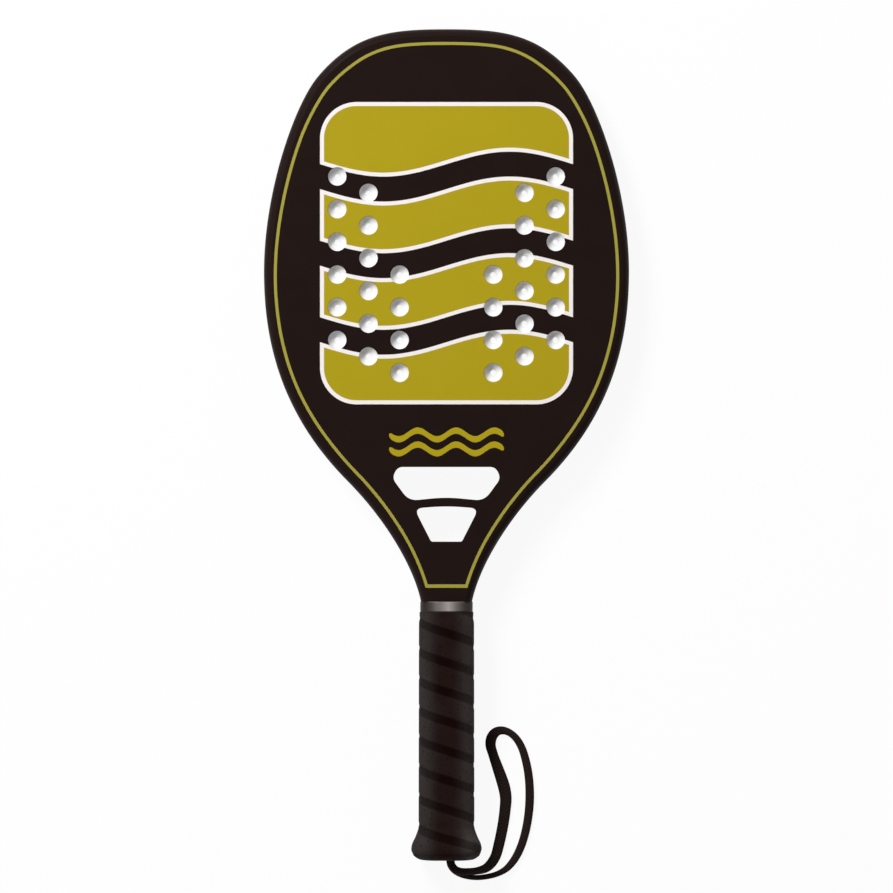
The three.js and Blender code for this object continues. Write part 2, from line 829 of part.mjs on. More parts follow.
// Share of the way round the handle at each point of a fine ring, along its surface.
const straightLoop = handleRing(neckY, 0, fineShares);
const loopSteps = straightLoop.length;
const sides = straightLoop.map((point, i) => point.distanceTo(straightLoop[(i + 1) % loopSteps]));
const loopLength = sides.reduce((sum, side) => sum + side, 0);
const wayRound = sides.map((_, i) => sides.slice(0, i).reduce((sum, side) => sum + side, 0) / loopLength);
const frontMiddle = straightLoop.findIndex(({ x, z }) => Math.abs(x) < fitGap && z > middleZ);

// Height of a winding line after a number of steps, given where it crosses the middle of the front.
function windingY(step, crossingY) {
  const turn = Math.floor(step / loopSteps);
  const share = wayRound[((step % loopSteps) + loopSteps) % loopSteps];
  return crossingY + windingLead * (turn + share - wayRound[frontMiddle]);
}

// Cutter that follows a winding line over the whole grip, wider at the surface than at its floor. It stands
// a little proud of the surface.
function windingCutter(crossingY, width, depth) {
  const firstStep = Math.floor((loopSteps * (gripEndY - crossingY)) / windingLead) - loopSteps;
  const lastStep = Math.ceil((loopSteps * (gripTopY - crossingY)) / windingLead) + loopSteps;
  const section = [
    [-width / 2, depth],
    [width / 2, depth],
    [width / 2 + grooveBevel, 0],
    [width / 2 + grooveBevel, -grooveBevel],
    [-width / 2 - grooveBevel, -grooveBevel],
    [-width / 2 - grooveBevel, 0],
  ];
  const rings = [];
  for (let step = firstStep; step <= lastStep; step++) {
    const middle = windingY(step, crossingY);
    const at = ((step % loopSteps) + loopSteps) % loopSteps;
    rings.push(
      section.map(([offset, inset]) => {
        const y = middle + offset;
        const point = handleRing(Math.max(y, gripEndY), inset, fineShares)[at];
        return point.setY(y);
      }),
    );
  }
  return loft(rings, section.map(([x, y]) => new THREE.Vector2(x, y)));
}

const seamY = buttY + firstSeamFromButt;
const channelY = seamY + windingLead / 2;
const tapeLayer = sleeve(gripEndY, gripTopY, 0, tapeThickness, fineShares);
const seam = windingCutter(seamY, seamWidth, tapeThickness + grooveBevel);
const channel = windingCutter(channelY, channelWidth, channelDepth);
addPiece("grip_tape", cut(tapeLayer, seam, channel), "tape");

// Least distance from one turn of the strip to the next, on points along both edges at the seam's floor.
let leastGap = Infinity;
const seamSteps = Math.ceil((loopSteps * (gripTopY - gripEndY)) / windingLead);
const edgePoint = (step, offset) => {
  const y = windingY(step, seamY) + offset;
  return handleRing(Math.max(y, gripEndY), tapeThickness, fineShares)[step % loopSteps].setY(y);
};
for (let step = 0; step < seamSteps; step++) {
  for (let other = Math.max(step - frontMiddle, 0); other < step + frontMiddle; other++) {
    const gap = edgePoint(step, -seamWidth / 2).distanceTo(edgePoint(other, seamWidth / 2));
    leastGap = Math.min(leastGap, gap);
  }
}
console.log("least gap of the wound tape to itself, in mm: " + leastGap.toFixed(2));
console.log("length of the free strap, in mm: " + strapCurve.getLength().toFixed(1));

// Collar and the strip under it

const endTapeEndY = handleTopY - endTapeLength;
const endTape = sleeve(endTapeEndY, handleTopY, endTapeOuter, endTapeInner, coarseShares);
addPiece("grip_end_tape", endTape, "underlay");

const collarRing = (y, inset) => {
  const half = gripThickness / 2 - inset;
  return octagonRing(y, gripWidth / 2 - collarSideInset, half, collarBevelShare * half, fineShares);
};
const collarBody = ringLoft([collarRing(collarEndY, collarEndInset), collarRing(handleTopY, collarTopInset)]);
const collarBore = ringLoft([
  straightRing(collarEndY - cutOverrun, collarInner),
  straightRing(handleTopY + cutOverrun, collarInner),
]);
addPiece("grip_collar", cut(collarBody, collarBore), "collar");

export default racket;
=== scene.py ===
import math

import bpy
import numpy as np
from mathutils.geometry import delaunay_2d_cdt
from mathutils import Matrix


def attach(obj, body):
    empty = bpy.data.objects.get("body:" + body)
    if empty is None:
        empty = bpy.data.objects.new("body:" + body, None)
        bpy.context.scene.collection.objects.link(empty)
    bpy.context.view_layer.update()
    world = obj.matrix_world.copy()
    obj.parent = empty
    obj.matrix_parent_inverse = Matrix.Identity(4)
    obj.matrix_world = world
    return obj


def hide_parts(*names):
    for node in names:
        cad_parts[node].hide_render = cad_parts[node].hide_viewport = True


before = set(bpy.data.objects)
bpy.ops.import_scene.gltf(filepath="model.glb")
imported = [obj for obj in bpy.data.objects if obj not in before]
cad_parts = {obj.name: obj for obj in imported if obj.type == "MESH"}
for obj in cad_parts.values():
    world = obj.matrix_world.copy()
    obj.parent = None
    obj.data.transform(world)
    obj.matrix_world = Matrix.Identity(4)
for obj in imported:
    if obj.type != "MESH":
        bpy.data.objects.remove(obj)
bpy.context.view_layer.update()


def addObject(name, data):
    # object in the scene that holds a mesh, a lamp or the camera
    added = bpy.data.objects.new(name, data)
    bpy.context.scene.collection.objects.link(added)
    return added


# Camera, straight above on a very long lens

camera = {"lens": 500, "sensor": 36, "seenWidth": 0.5373, "y": -0.00095, "planeZ": 0.0184, "far": 20}

cameraData = bpy.data.cameras.new("photoCamera")
cameraData.lens = camera["lens"]
cameraData.sensor_width = camera["sensor"]
cameraData.clip_end = camera["far"]
cameraHeight = camera["planeZ"] + camera["seenWidth"] * camera["lens"] / camera["sensor"]
cameraObject = addObject("photoCamera", cameraData)
cameraObject.location = (0, camera["y"], cameraHeight)
bpy.context.scene.camera = cameraObject


# Mesh helpers

def unit(vectors):
    # vectors divided by their lengths
    return vectors / np.linalg.norm(vectors, axis=-1, keepdims=True)


def lengthAlong(points):
    # at each point of a line, the sum of the steps up to it
    return np.concatenate([[0], np.cumsum(np.linalg.norm(np.diff(points, axis=0), axis=1))])


def raised(flat, high):
    # flat points with a height each
    return np.concatenate([flat, np.broadcast_to(np.asarray(high)[..., None], (*flat.shape[:-1], 1))], -1)


def addMesh(name, points, faces, cornerUv=None, sharpAngle=35):
    # mesh from points and faces, turned round where its enclosed volume comes out negative
    mesh = bpy.data.meshes.new(name)
    mesh.from_pydata(np.asarray(points, float).tolist(), [], faces)
    if cornerUv is not None:
        layer = mesh.uv_layers.new(name="UVMap")
        layer.data.foreach_set("uv", np.asarray(cornerUv, np.float32).ravel())
    mesh.calc_loop_triangles()
    corners = np.zeros(len(mesh.loop_triangles) * 3, np.int32)
    mesh.loop_triangles.foreach_get("vertices", corners)
    a, b, c = np.asarray(points, float)[corners.reshape(-1, 3)].transpose(1, 0, 2)
    if np.einsum("ij,ij->", a, np.cross(b, c)) < 0:
        mesh.flip_normals()
    mesh.shade_smooth()
    mesh.set_sharp_from_angle(angle=math.radians(sharpAngle))
    mesh.update()
    return addObject(name, mesh)


def addGrid(name, grid, closedRows, closedColumns, uv=None, sharpAngle=35):
    # surface through a grid of points; open row ends are closed with one flat face each. The UV grid has
    # one row or column more than the points where that way is closed
    rows, columns = grid.shape[:2]
    r, c = np.meshgrid(np.arange(rows if closedRows else rows - 1),
                       np.arange(columns if closedColumns else columns - 1), indexing="ij")
    r, c = r.ravel(), c.ravel()
    rowCorners = np.stack([r, r, r + 1, r + 1], 1)
    columnCorners = np.stack([c, c + 1, c + 1, c], 1)
    faces = ((rowCorners % rows) * columns + columnCorners % columns).tolist()
    cornerUv = None if uv is None else uv[rowCorners, columnCorners].reshape(-1, 2)
    if not closedRows:
        first, last = np.arange(columns), (rows - 1) * columns + np.arange(columns)
        faces += [first.tolist(), last[::-1].tolist()]
        if uv is not None:
            cornerUv = np.concatenate([cornerUv, uv[0, :columns], uv[rows - 1, :columns][::-1]])
    return addMesh(name, grid.reshape(-1, 3), faces, cornerUv, sharpAngle)


def smoothStep(low, high, value):
    # rises from 0 at low to 1 at high as 3t^2 - 2t^3
    t = np.clip((value - low) / (high - low), 0, 1)
    return t * t * (3 - 2 * t)


def quarterTurn(steps):
    # pairs along a quarter turn: 1 less its cosine, which goes from 0 to 1, and 1 less its sine, which
    # comes back from 1 to 0
    angle = np.linspace(0, np.pi / 2, steps)
    return np.stack([1 - np.cos(angle), 1 - np.sin(angle)], -1)


def evened(values, width):
    # each value averaged with its neighbours along the first axis, weighted by a raised cosine
    weights = np.hanning(width + 2)[1:-1]
    weights = weights / weights.sum()
    half = width // 2
    padded = np.concatenate([np.repeat(values[:1], half, 0), values, np.repeat(values[-1:], half, 0)])
    return np.stack([np.convolve(column, weights, "valid") for column in padded.T], -1)


def coat(piece, material):
    # one material for the whole piece
    piece.data.materials.clear()
    piece.data.materials.append(material)


def stand(piece, slotName, material, *nodes):
    # the piece takes one material, stands for these nodes and rides with the racket
    coat(piece, material)
    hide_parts(*nodes)
    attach(piece, "root")


# Material helpers

def startMaterial(name, roughness=0.5, specular=0.5):
    # plain shader with its roughness and specular level
    material = bpy.data.materials.new(name)
    material.use_nodes = True
    shader = material.node_tree.nodes["Principled BSDF"]
    shader.inputs["Roughness"].default_value = roughness
    shader.inputs["Specular IOR Level"].default_value = specular
    return material, shader


def addNode(tree, kind, inputs=None, **settings):
    # node with its settings, each input either a number or a socket to link from
    node = tree.nodes.new(kind)
    for name, value in settings.items():
        setattr(node, name, value)
    for name, value in (inputs or {}).items():
        if isinstance(value, bpy.types.NodeSocket):
            tree.links.new(value, node.inputs[name])
        else:
            node.inputs[name].default_value = value
    return node


def maths(operation, *values):
    # one operation on up to three numbers or sockets, in the node tree of the first socket among them
    tree = next(value.id_data for value in values if isinstance(value, bpy.types.NodeSocket))
    return addNode(tree, "ShaderNodeMath", dict(enumerate(values)), operation=operation).outputs[0]


def fade(value, low, high, toLow=0.0, toHigh=1.0):
    # smooth change from one number to another as the value passes from low to high
    ends = {"Value": value, "From Min": low, "From Max": high, "To Min": toLow, "To Max": toHigh}
    node = addNode(value.id_data, "ShaderNodeMapRange", ends, interpolation_type="SMOOTHSTEP")
    return node.outputs["Result"]


def spread(pattern, toLow, toHigh):
    # a noise, most of which lies between 0.3 and 0.7, spread from one number to another
    return fade(pattern, 0.3, 0.7, toLow, toHigh)


def clamped(value, low, high):
    # the value kept between two limits
    return maths("MINIMUM", maths("MAXIMUM", value, low), high)


def blend(share, first, second):
    # first colour plus the share of the way to the second
    first, second = ((*colour, 1) if isinstance(colour, tuple) else colour for colour in (first, second))
    inputs = {"Factor": share, 6: first, 7: second}
    return addNode(share.id_data, "ShaderNodeMix", inputs, data_type="RGBA").outputs[2]


def noise(vector, scale, detail=3.0, roughness=0.55):
    # random pattern between 0 and 1, with about scale spots in each unit of the vector
    inputs = {"Vector": vector, "Scale": scale, "Detail": detail, "Roughness": roughness}
    return addNode(vector.id_data, "ShaderNodeTexNoise", inputs).outputs["Fac"]


def coordinates(owner, kind="Object"):
    # place on the piece in metres or in its UV map, or a direction in the world
    return addNode(owner.node_tree, "ShaderNodeTexCoord").outputs[kind]


def axes(vector):
    # the three numbers of a vector
    return addNode(vector.id_data, "ShaderNodeSeparateXYZ", {0: vector}).outputs[:3]


def bump(shader, height, distance, strength):
    # relief: distance times the height, without moving the surface
    inputs = {"Height": height, "Distance": distance, "Strength": strength}
    feed(shader, Normal=addNode(shader.id_data, "ShaderNodeBump", inputs).outputs["Normal"])


def feed(shader, **sockets):
    # each socket linked to the shader's input of that name
    for name, socket in sockets.items():
        shader.id_data.links.new(socket, shader.inputs[name.replace("_", " ")])


# Paint

ink = {"black": (0.0132, 0.0062, 0.0052), "gold": (0.428, 0.333, 0.0111), "white": (0.900, 0.852, 0.828),
       "lineGold": (0.370, 0.330, 0.055)}
leastShare = {"black": 0.84, "gold": 0.96, "lineGold": 0.94}
paint = {"specular": 0.05, "drift": 45, "smooth": 0.48, "rough": 0.6, "ripple": 900, "depth": 0.00004,
         "strength": 0.35}


def startPaint(name):
    # sprayed paint: a very fine ripple, and a roughness that drifts a little
    material, shader = startMaterial(name, specular=paint["specular"])
    place = coordinates(material)
    drift = noise(place, paint["drift"], 2)
    feed(shader, Roughness=spread(drift, paint["smooth"], paint["rough"]))
    bump(shader, noise(place, paint["ripple"], 2), paint["depth"], paint["strength"])
    return material, shader, drift


def uneven(drift, inkName):
    # an ink that the drift darkens in places, down to its least share
    colour = ink[inkName]
    return blend(drift, tuple(leastShare[inkName] * value for value in colour), colour)


def makePaint(name, inkName):
    # sprayed paint of one ink
    material, shader, drift = startPaint(name)
    feed(shader, Base_Color=uneven(drift, inkName))
    return material


# Print on the faces: a gold panel with round corners, split by black waves and edged in white, and two
# small gold waves under it
panel = {"y": 0.1152, "halfWidth": 0.076, "halfHeight": 0.0908, "corner": 0.022, "keyline": 0.0024,
         "gapPitch": 0.046, "gapHalf": 0.0075, "wave": 0.0075, "waveLength": 0.152, "soft": 0.00012}
smallWaves = {"y": 0.0018, "apart": 0.0042, "halfHeight": 0.0019, "halfWidth": 0.0345, "corner": 0.0019,
              "wave": 0.0026, "waveLength": 0.023}


def roundedBar(x, y, bar):
    # signed distance to a bar with round corners: length of what lies past the inner bar, less the corner
    pastX = maths("SUBTRACT", maths("ABSOLUTE", x), bar["halfWidth"] - bar["corner"])
    pastY = maths("SUBTRACT", maths("ABSOLUTE", y), bar["halfHeight"] - bar["corner"])
    outX, outY = maths("MAXIMUM", pastX, 0.0), maths("MAXIMUM", pastY, 0.0)
    squares = maths("MULTIPLY_ADD", outX, outX, maths("MULTIPLY", outY, outY))
    inside = maths("MINIMUM", maths("MAXIMUM", pastX, pastY), 0.0)
    past = maths("ADD", maths("SQRT", squares), inside)
    return maths("SUBTRACT", past, bar["corner"])


def waved(x, y, bar):
    # y over a sine that runs along x at the bar's height
    sine = maths("SINE", maths("MULTIPLY", x, 2 * math.pi / bar["waveLength"]))
    return maths("SUBTRACT", y, maths("MULTIPLY_ADD", sine, bar["wave"], bar["y"]))


def makeFacePaint():
    # gold well inside the panel and the small waves, white in the panel's keyline, black elsewhere
    material, shader, drift = startPaint("printedFace")
    x, y = axes(coordinates(material))[:2]
    # distance past the panel's edge, or into the nearest of its three gaps
    fromPanel = roundedBar(x, maths("SUBTRACT", y, panel["y"]), panel)
    bent = waved(x, y, panel)
    number = maths("ROUND", maths("DIVIDE", bent, panel["gapPitch"]))
    nearest = maths("MULTIPLY", clamped(number, -1.0, 1.0), panel["gapPitch"])
    fromGap = maths("ABSOLUTE", maths("SUBTRACT", bent, nearest))
    intoGap = maths("SUBTRACT", panel["gapHalf"], fromGap)
    distance = maths("MAXIMUM", fromPanel, intoGap)
    soft, keyline = panel["soft"], panel["keyline"]
    whiteShare = fade(distance, soft, -soft)
    goldShare = fade(distance, -keyline + soft, -keyline - soft)
    smallBent = maths("ABSOLUTE", waved(x, y, smallWaves))
    small = roundedBar(x, maths("SUBTRACT", smallBent, smallWaves["apart"]), smallWaves)
    goldShare = maths("MAXIMUM", goldShare, fade(small, soft, -soft))
    ground = blend(whiteShare, uneven(drift, "black"), ink["white"])
    feed(shader, Base_Color=blend(goldShare, ground, uneven(drift, "gold")))
    return material


# Mottled finishes: white foam, bare fibre laminate, the shell's moulded plastic and the sleeve's foam.
# Mottle and fine say how many spots or ridges there are in a metre

mottled = {
    "foamWhite": {"roughness": 0.9, "specular": 0.2, "mottle": 260, "dark": (0.77, 0.77, 0.775),
                  "light": (0.85, 0.85, 0.855), "relief": "cells", "fine": 2200, "depth": 0.00012,
                  "strength": 0.5},
    "bareLaminate": {"roughness": 0.5, "specular": 0.3, "mottle": 320, "dark": (0.011, 0.009, 0.009),
                     "light": (0.026, 0.022, 0.021), "relief": "ridges", "fine": 520, "depth": 0.00005,
                     "strength": 0.4},
    "shellPlastic": {"roughness": 0.8, "specular": 0.5, "mottle": 150, "dark": (0.08, 0.072, 0.065),
                     "light": (0.13, 0.12, 0.11), "relief": "grain", "fine": 1500, "depth": 0.0001,
                     "strength": 0.4},
    "underlayFoam": {"roughness": 0.9, "specular": 0.12, "mottle": 400, "dark": (0.0045, 0.0022, 0.0020),
                     "light": (0.0090, 0.0052, 0.0046), "relief": "grain", "fine": 2500, "depth": 0.00012,
                     "strength": 0.5},
}


def fineRelief(place, kind, scale, bend=0.6):
    # distance to the middle of the nearest cell, slanting ridges that bend a little, or a random grain
    tree, inputs = place.id_data, {"Vector": place, "Scale": scale}
    if kind == "cells":
        return addNode(tree, "ShaderNodeTexVoronoi", inputs).outputs["Distance"]
    if kind == "ridges":
        inputs["Distortion"] = bend
        return addNode(tree, "ShaderNodeTexWave", inputs, bands_direction="DIAGONAL").outputs["Fac"]
    return noise(place, scale)


def makeMottled(name):
    # the mottle goes between a dark and a light tone, over a fine relief
    look = mottled[name]
    material, shader = startMaterial(name, look["roughness"], look["specular"])
    place = coordinates(material)
    mottle = noise(place, look["mottle"])
    feed(shader, Base_Color=blend(mottle, look["dark"], look["light"]))
    relief = fineRelief(place, look["relief"], look["fine"])
    bump(shader, relief, look["depth"], look["strength"])
    return material


# Grip and butt, with painted shade along the middle of the handle and painted light towards its sides

# tones in the middle and at the sides of the tape, its pressed bands and the cap: the lighter side tones
# are painted light, the darker band tones painted shade, and the cap's tones are set lighter than the
# tape's as painted light against the shade on its downward rim
handleToneAndShade = {"middle": 0.0022, "side": 0.0155, "rightLight": 1.9, "rightLightStart": 0.006, "rightLightEnd": 0.014,
              "tape": ((0.0145, 0.0070, 0.0060), (0.0325, 0.0268, 0.0257)),
              "band": ((0.0056, 0.0012, 0.0007), (0.0165, 0.0132, 0.0126)),
              "cap": ((0.0220, 0.0100, 0.0080), (0.0340, 0.0300, 0.0300))}
perforation = {"pitch": 0.0042, "random": 0.6, "radius": 0.09, "soft": 0.03, "leftOut": 0.4,
               "share": 0.85, "dark": (0.0045, 0.0016, 0.0012)}
leather = {"grain": 1500, "grainShare": 0.25, "smudges": 60, "smudge": 0.12, "depth": 0.0002,
           "strength": 0.6}
capWear = {"patches": 70, "low": 0.35, "high": 0.75, "share": 0.35, "grain": 1800, "depth": 0.00006,
           "strength": 0.5}


def sideLightShare(place):
    # share of the painted side light: 0 along the middle of the handle and 1 near its sides
    aside = maths("ABSOLUTE", axes(place)[0])
    return fade(aside, handleToneAndShade["middle"], handleToneAndShade["side"])


def shadedHandleColour(place, share, toneName):
    # middle tone with its painted shade, blended by the share with the side tone, which is painted light,
    # with more painted light on the right bevel
    middle, side = handleToneAndShade[toneName]
    # painted light: the side tone is raised on the right bevel, which the key lamp on the left leaves
    # darker
    rightLitSide = tuple(handleToneAndShade["rightLight"] * value for value in side)
    rightLightShare = fade(axes(place)[0], handleToneAndShade["rightLightStart"], handleToneAndShade["rightLightEnd"])
    return blend(share, middle, blend(rightLightShare, side, rightLitSide))


def makeTape():
    # perforated grip tape: small holes along the strip, a fine leathery grain, and pressed bands darkened
    # with painted shade
    material, shader = startMaterial("gripTapeFinish", roughness=0.75, specular=0.03)
    place = coordinates(material)
    smudge = spread(noise(place, leather["smudges"]), -leather["smudge"], leather["smudge"])
    # painted side light, varied by random smudges
    sideLightAndSmudge = clamped(maths("ADD", sideLightShare(place), smudge), 0.0, 1.0)
    tree = material.node_tree
    groove = addNode(tree, "ShaderNodeAttribute", attribute_name="groove").outputs["Fac"]
    # the band tones are painted shade for the pressed grooves and the laps
    tape, band = (shadedHandleColour(place, sideLightAndSmudge, toneName) for toneName in ("tape", "band"))
    # a hole is a dark spot in the middle of a cell of the strip, and some cells have none
    onStrip = {"Vector": coordinates(material, "UV"), "Scale": 1.0, "Randomness": perforation["random"]}
    cells = addNode(tree, "ShaderNodeTexVoronoi", onStrip, voronoi_dimensions="2D")
    chance = addNode(tree, "ShaderNodeSeparateColor", {0: cells.outputs["Color"]}).outputs[0]
    kept = maths("GREATER_THAN", chance, perforation["leftOut"])
    rim, soft = perforation["radius"], perforation["soft"]
    hole = maths("MULTIPLY", fade(cells.outputs["Distance"], rim + soft, rim - soft), kept)
    darkShare = maths("MULTIPLY", hole, perforation["share"])
    colour = blend(darkShare, blend(groove, tape, band), perforation["dark"])
    feed(shader, Base_Color=colour)
    grain = fineRelief(place, "cells", leather["grain"])
    relief = maths("SUBTRACT", maths("MULTIPLY", grain, leather["grainShare"]), hole)
    bump(shader, relief, leather["depth"], leather["strength"])
    return material


def makeCapPlastic():
    # moulded butt: the handle's tones with their painted shade in the middle and painted light at the
    # sides, worn patches, and a fine grain
    material, shader = startMaterial("capPlastic", roughness=0.75, specular=0.04)
    place = coordinates(material)
    tone = shadedHandleColour(place, sideLightShare(place), "cap")
    patches = noise(place, capWear["patches"])
    worn = fade(patches, capWear["low"], capWear["high"], 0.0, capWear["share"])
    feed(shader, Base_Color=blend(worn, tone, handleToneAndShade["tape"][0]))
    bump(shader, noise(place, capWear["grain"], 2), capWear["depth"], capWear["strength"])
    return material


# Steel of the tacks and the eyelet

steel = {"scratches": 900, "dark": (0.42, 0.42, 0.43), "light": (0.56, 0.56, 0.57), "smooth": 0.28,
         "rough": 0.42}


def makeSteel():
    # bare metal whose tone and roughness follow one scratchy noise
    material, shader = startMaterial("plainSteel")
    scratches = noise(coordinates(material), steel["scratches"], 4, 0.7)
    feed(shader, Base_Color=blend(scratches, steel["dark"], steel["light"]),
         Roughness=spread(scratches, steel["smooth"], steel["rough"]))
    shader.inputs["Metallic"].default_value = 1
    return material


# Strap

weave = {"pitch": 0.0021, "yarns": 7, "fibre": 2600, "fibreShare": 0.4, "lowest": -0.4, "depth": 0.00025,
         "strength": 0.6, "dark": (0.0085, 0.0038, 0.0030), "light": (0.0215, 0.0125, 0.0108)}


def makeStrapWeave():
    # braided strap: the higher of two sines that slant both ways, one dark tone with small changes
    material, shader = startMaterial("strapWeave", roughness=0.85, specular=0.12)
    along, around = axes(coordinates(material, "UV"))[:2]
    lean = maths("MULTIPLY", around, 2 * math.pi * weave["yarns"])
    run = maths("MULTIPLY", along, 2 * math.pi / weave["pitch"])
    left = maths("SINE", maths("ADD", run, lean))
    right = maths("SINE", maths("SUBTRACT", run, lean))
    yarn = maths("MAXIMUM", left, right)
    fibre = noise(coordinates(material), weave["fibre"], 3, 0.7)
    fibre = maths("MULTIPLY", fibre, weave["fibreShare"])
    tone = maths("MULTIPLY_ADD", fade(yarn, weave["lowest"], 1), 1 - weave["fibreShare"], fibre)
    feed(shader, Base_Color=blend(tone, weave["dark"], weave["light"]))
    bump(shader, maths("ADD", yarn, fibre), weave["depth"], weave["strength"])
    return material


blackPaint, goldLine = makePaint("blackPaint", "black"), makePaint("goldLine", "lineGold")
foamWhite, bareLaminate = makeMottled("foamWhite"), makeMottled("bareLaminate")
shellPlastic, underlayFoam = makeMottled("shellPlastic"), makeMottled("underlayFoam")
printedFace, tapeFinish, capPlastic = makeFacePaint(), makeTape(), makeCapPlastic()
plainSteel, strapWeave = makeSteel(), makeStrapWeave()
print("materials made")


# Wrist strap

strap = {"exit": (0.0024, -0.2503, 0.02096), "length": 0.2582, "diameter": 0.0046, "insideRun": 0.003,
         "steps": 480, "sides": 32, "squareness": 2.5, "evening": 9, "highZ": 0.010, "lowZ": 0.004}

# centre line in millimetres: out of the upper hole, round the loop on the ground, back to the lower one
strapRoute = np.array([
    (2.4, -250.3, 20.96), (2.6, -252.0, 20.90), (3.8, -254.2, 20.41), (5.8, -255.9, 19.60),
    (8.9, -256.7, 18.00), (13.4, -256.8, 15.31), (19.0, -256.4, 11.21), (24.1, -254.8, 7.19),
    (27.8, -251.2, 4.40), (29.5, -248.2, 3.29), (31.6, -240.9, 2.50), (33.2, -233.7, 2.45),
    (35.4, -219.2, 2.74), (35.8, -213.2, 2.80), (35.0, -207.5, 2.91), (33.1, -201.1, 3.00),
    (30.6, -193.9, 3.09), (28.1, -186.6, 3.20), (26.5, -180.3, 3.29), (27.5, -175.7, 3.35),
    (30.2, -172.8, 3.40), (34.1, -172.1, 3.40), (38.3, -173.6, 3.40), (42.4, -177.4, 3.35),
    (45.3, -182.4, 3.29), (47.8, -190.3, 3.20), (50.2, -212.6, 2.91), (49.4, -223.4, 2.70),
    (47.5, -233.7, 2.50), (44.4, -243.4, 2.39), (40.6, -250.5, 2.36), (35.7, -255.9, 2.36),
    (30.2, -258.8, 2.45), (24.1, -260.3, 2.91), (17.8, -260.8, 4.60), (12.0, -259.9, 8.00),
    (7.4, -257.9, 11.79), (4.1, -255.1, 14.50), (2.6, -252.2, 15.75), (2.4, -250.3, 15.84),
]) / 1000

# width and thickness in millimetres at shares of the strap's length
strapSizes = np.array([
    (0.00, 5.2, 4.4), (0.035, 4.8, 4.4), (0.06, 4.2, 4.4), (0.09, 4.3, 4.2), (0.136, 6.0, 3.2),
    (0.18, 6.5, 2.9), (0.27, 6.8, 2.8), (0.325, 7.4, 2.7), (0.367, 6.6, 2.8), (0.397, 5.8, 2.9),
    (0.441, 6.6, 2.9), (0.472, 4.7, 3.4), (0.49, 4.2, 3.6), (0.52, 4.6, 3.4), (0.565, 4.9, 3.2),
    (0.65, 5.3, 3.0), (0.775, 4.9, 3.2), (0.806, 4.6, 3.4), (0.845, 3.4, 4.0), (0.91, 3.1, 4.4),
    (0.935, 3.4, 4.4), (0.975, 4.8, 4.4), (1.00, 5.2, 4.4),
]) * (1, 0.001, 0.001)


def smoothRoute(knots, count):
    # cubic between knots, whose slope at each knot is the chord from the knot before to the one after
    chord = lengthAlong(knots)
    slope = np.gradient(knots, chord, axis=0)
    at = np.linspace(0, chord[-1], count)
    left = np.clip(np.searchsorted(chord, at, side="right") - 1, 0, len(chord) - 2)
    span = (chord[left + 1] - chord[left])[:, None]
    t = (at[:, None] - chord[left][:, None]) / span
    start = (2 * t**3 - 3 * t**2 + 1) * knots[left] + (t**3 - 2 * t**2 + t) * span * slope[left]
    return start + (3 * t**2 - 2 * t**3) * knots[left + 1] + (t**3 - t**2) * span * slope[left + 1]


def makeStrap():
    # superellipse carried along the route, with its width level; where it is thin it rests on the ground
    inward = np.array([[0, strap["insideRun"], 0]])
    knots = np.concatenate([strapRoute[:1] + inward, strapRoute, strapRoute[-1:] + inward])
    route = evened(smoothRoute(knots, strap["steps"]), strap["evening"])
    length = lengthAlong(route)
    share = length / length[-1]
    sizes = np.stack([np.interp(share, strapSizes[:, 0], side) for side in strapSizes.T[1:]], -1)
    width, height = evened(sizes, 2 * strap["evening"] + 1).T
    tangent = unit(np.gradient(route, axis=0))
    level = unit(np.cross((0, 0, 1), tangent))
    upright = np.cross(tangent, level)
    lying = smoothStep(strap["highZ"], strap["lowZ"], route[:, 2])
    centre = route - np.array([0, 0, 1]) * (lying * (strap["diameter"] - height) / 2)[:, None]
    angle = np.linspace(0, 2 * np.pi, strap["sides"], endpoint=False)
    across, up = (np.sign(wave) * np.abs(wave) ** (2 / strap["squareness"])
                  for wave in (np.cos(angle), np.sin(angle)))
    grid = (centre[:, None] + level[:, None] * (across[None, :, None] * width[:, None, None] / 2)
            + upright[:, None] * (up[None, :, None] * height[:, None, None] / 2))
    uv = np.stack(np.meshgrid(length, np.linspace(0, 1, strap["sides"] + 1), indexing="ij"), -1)
    piece = addGrid("wristStrap", grid, False, True, uv, sharpAngle=60)
    stand(piece, "strap", strapWeave, "wrist_strap", "strap_tail_upper", "strap_tail_lower")


makeStrap()
print("strap made")


# Outline of the head

head = {"width": 0.2196, "tipY": 0.25, "neckY": -0.0942, "middleZ": 0.0184, "half": 0.011, "face": 0.0012,
        "edge": 0.0045, "rise": 0.0075, "hoop": 0.012, "seat": 0.0003, "levelling": 0.012,
        "liner": 0.0009, "coreEndY": -0.0078}
headLength = head["tipY"] - head["neckY"]
# the top of the front face, and where the foam ends under each face
faceTop = head["middleZ"] + head["half"]
coreTop = faceTop - head["face"]
coreLow = head["middleZ"] - head["half"] + head["face"]
outlineShares = np.array([
    [(0, 1), (0.3, 1), (0.499, 0.994), (0.7, 0.919)],
    [(0.7, 0.919), (0.831, 0.871), (1, 0.716), (1, 0.577)],
    [(1, 0.577), (1, 0.467), (0.929, 0.335), (0.544, 0.211)],
    [(0.544, 0.211), (0.335, 0.144), (0.18, 0.061), (0.14, 0)],
])
outlineSteps = (50, 40, 50, 44)


def headPlace(x, y):
    # place from a share of half the head's width and a share of its length over the neck
    return np.stack([np.asarray(x) * head["width"] / 2, head["neckY"] + np.asarray(y) * headLength], -1)


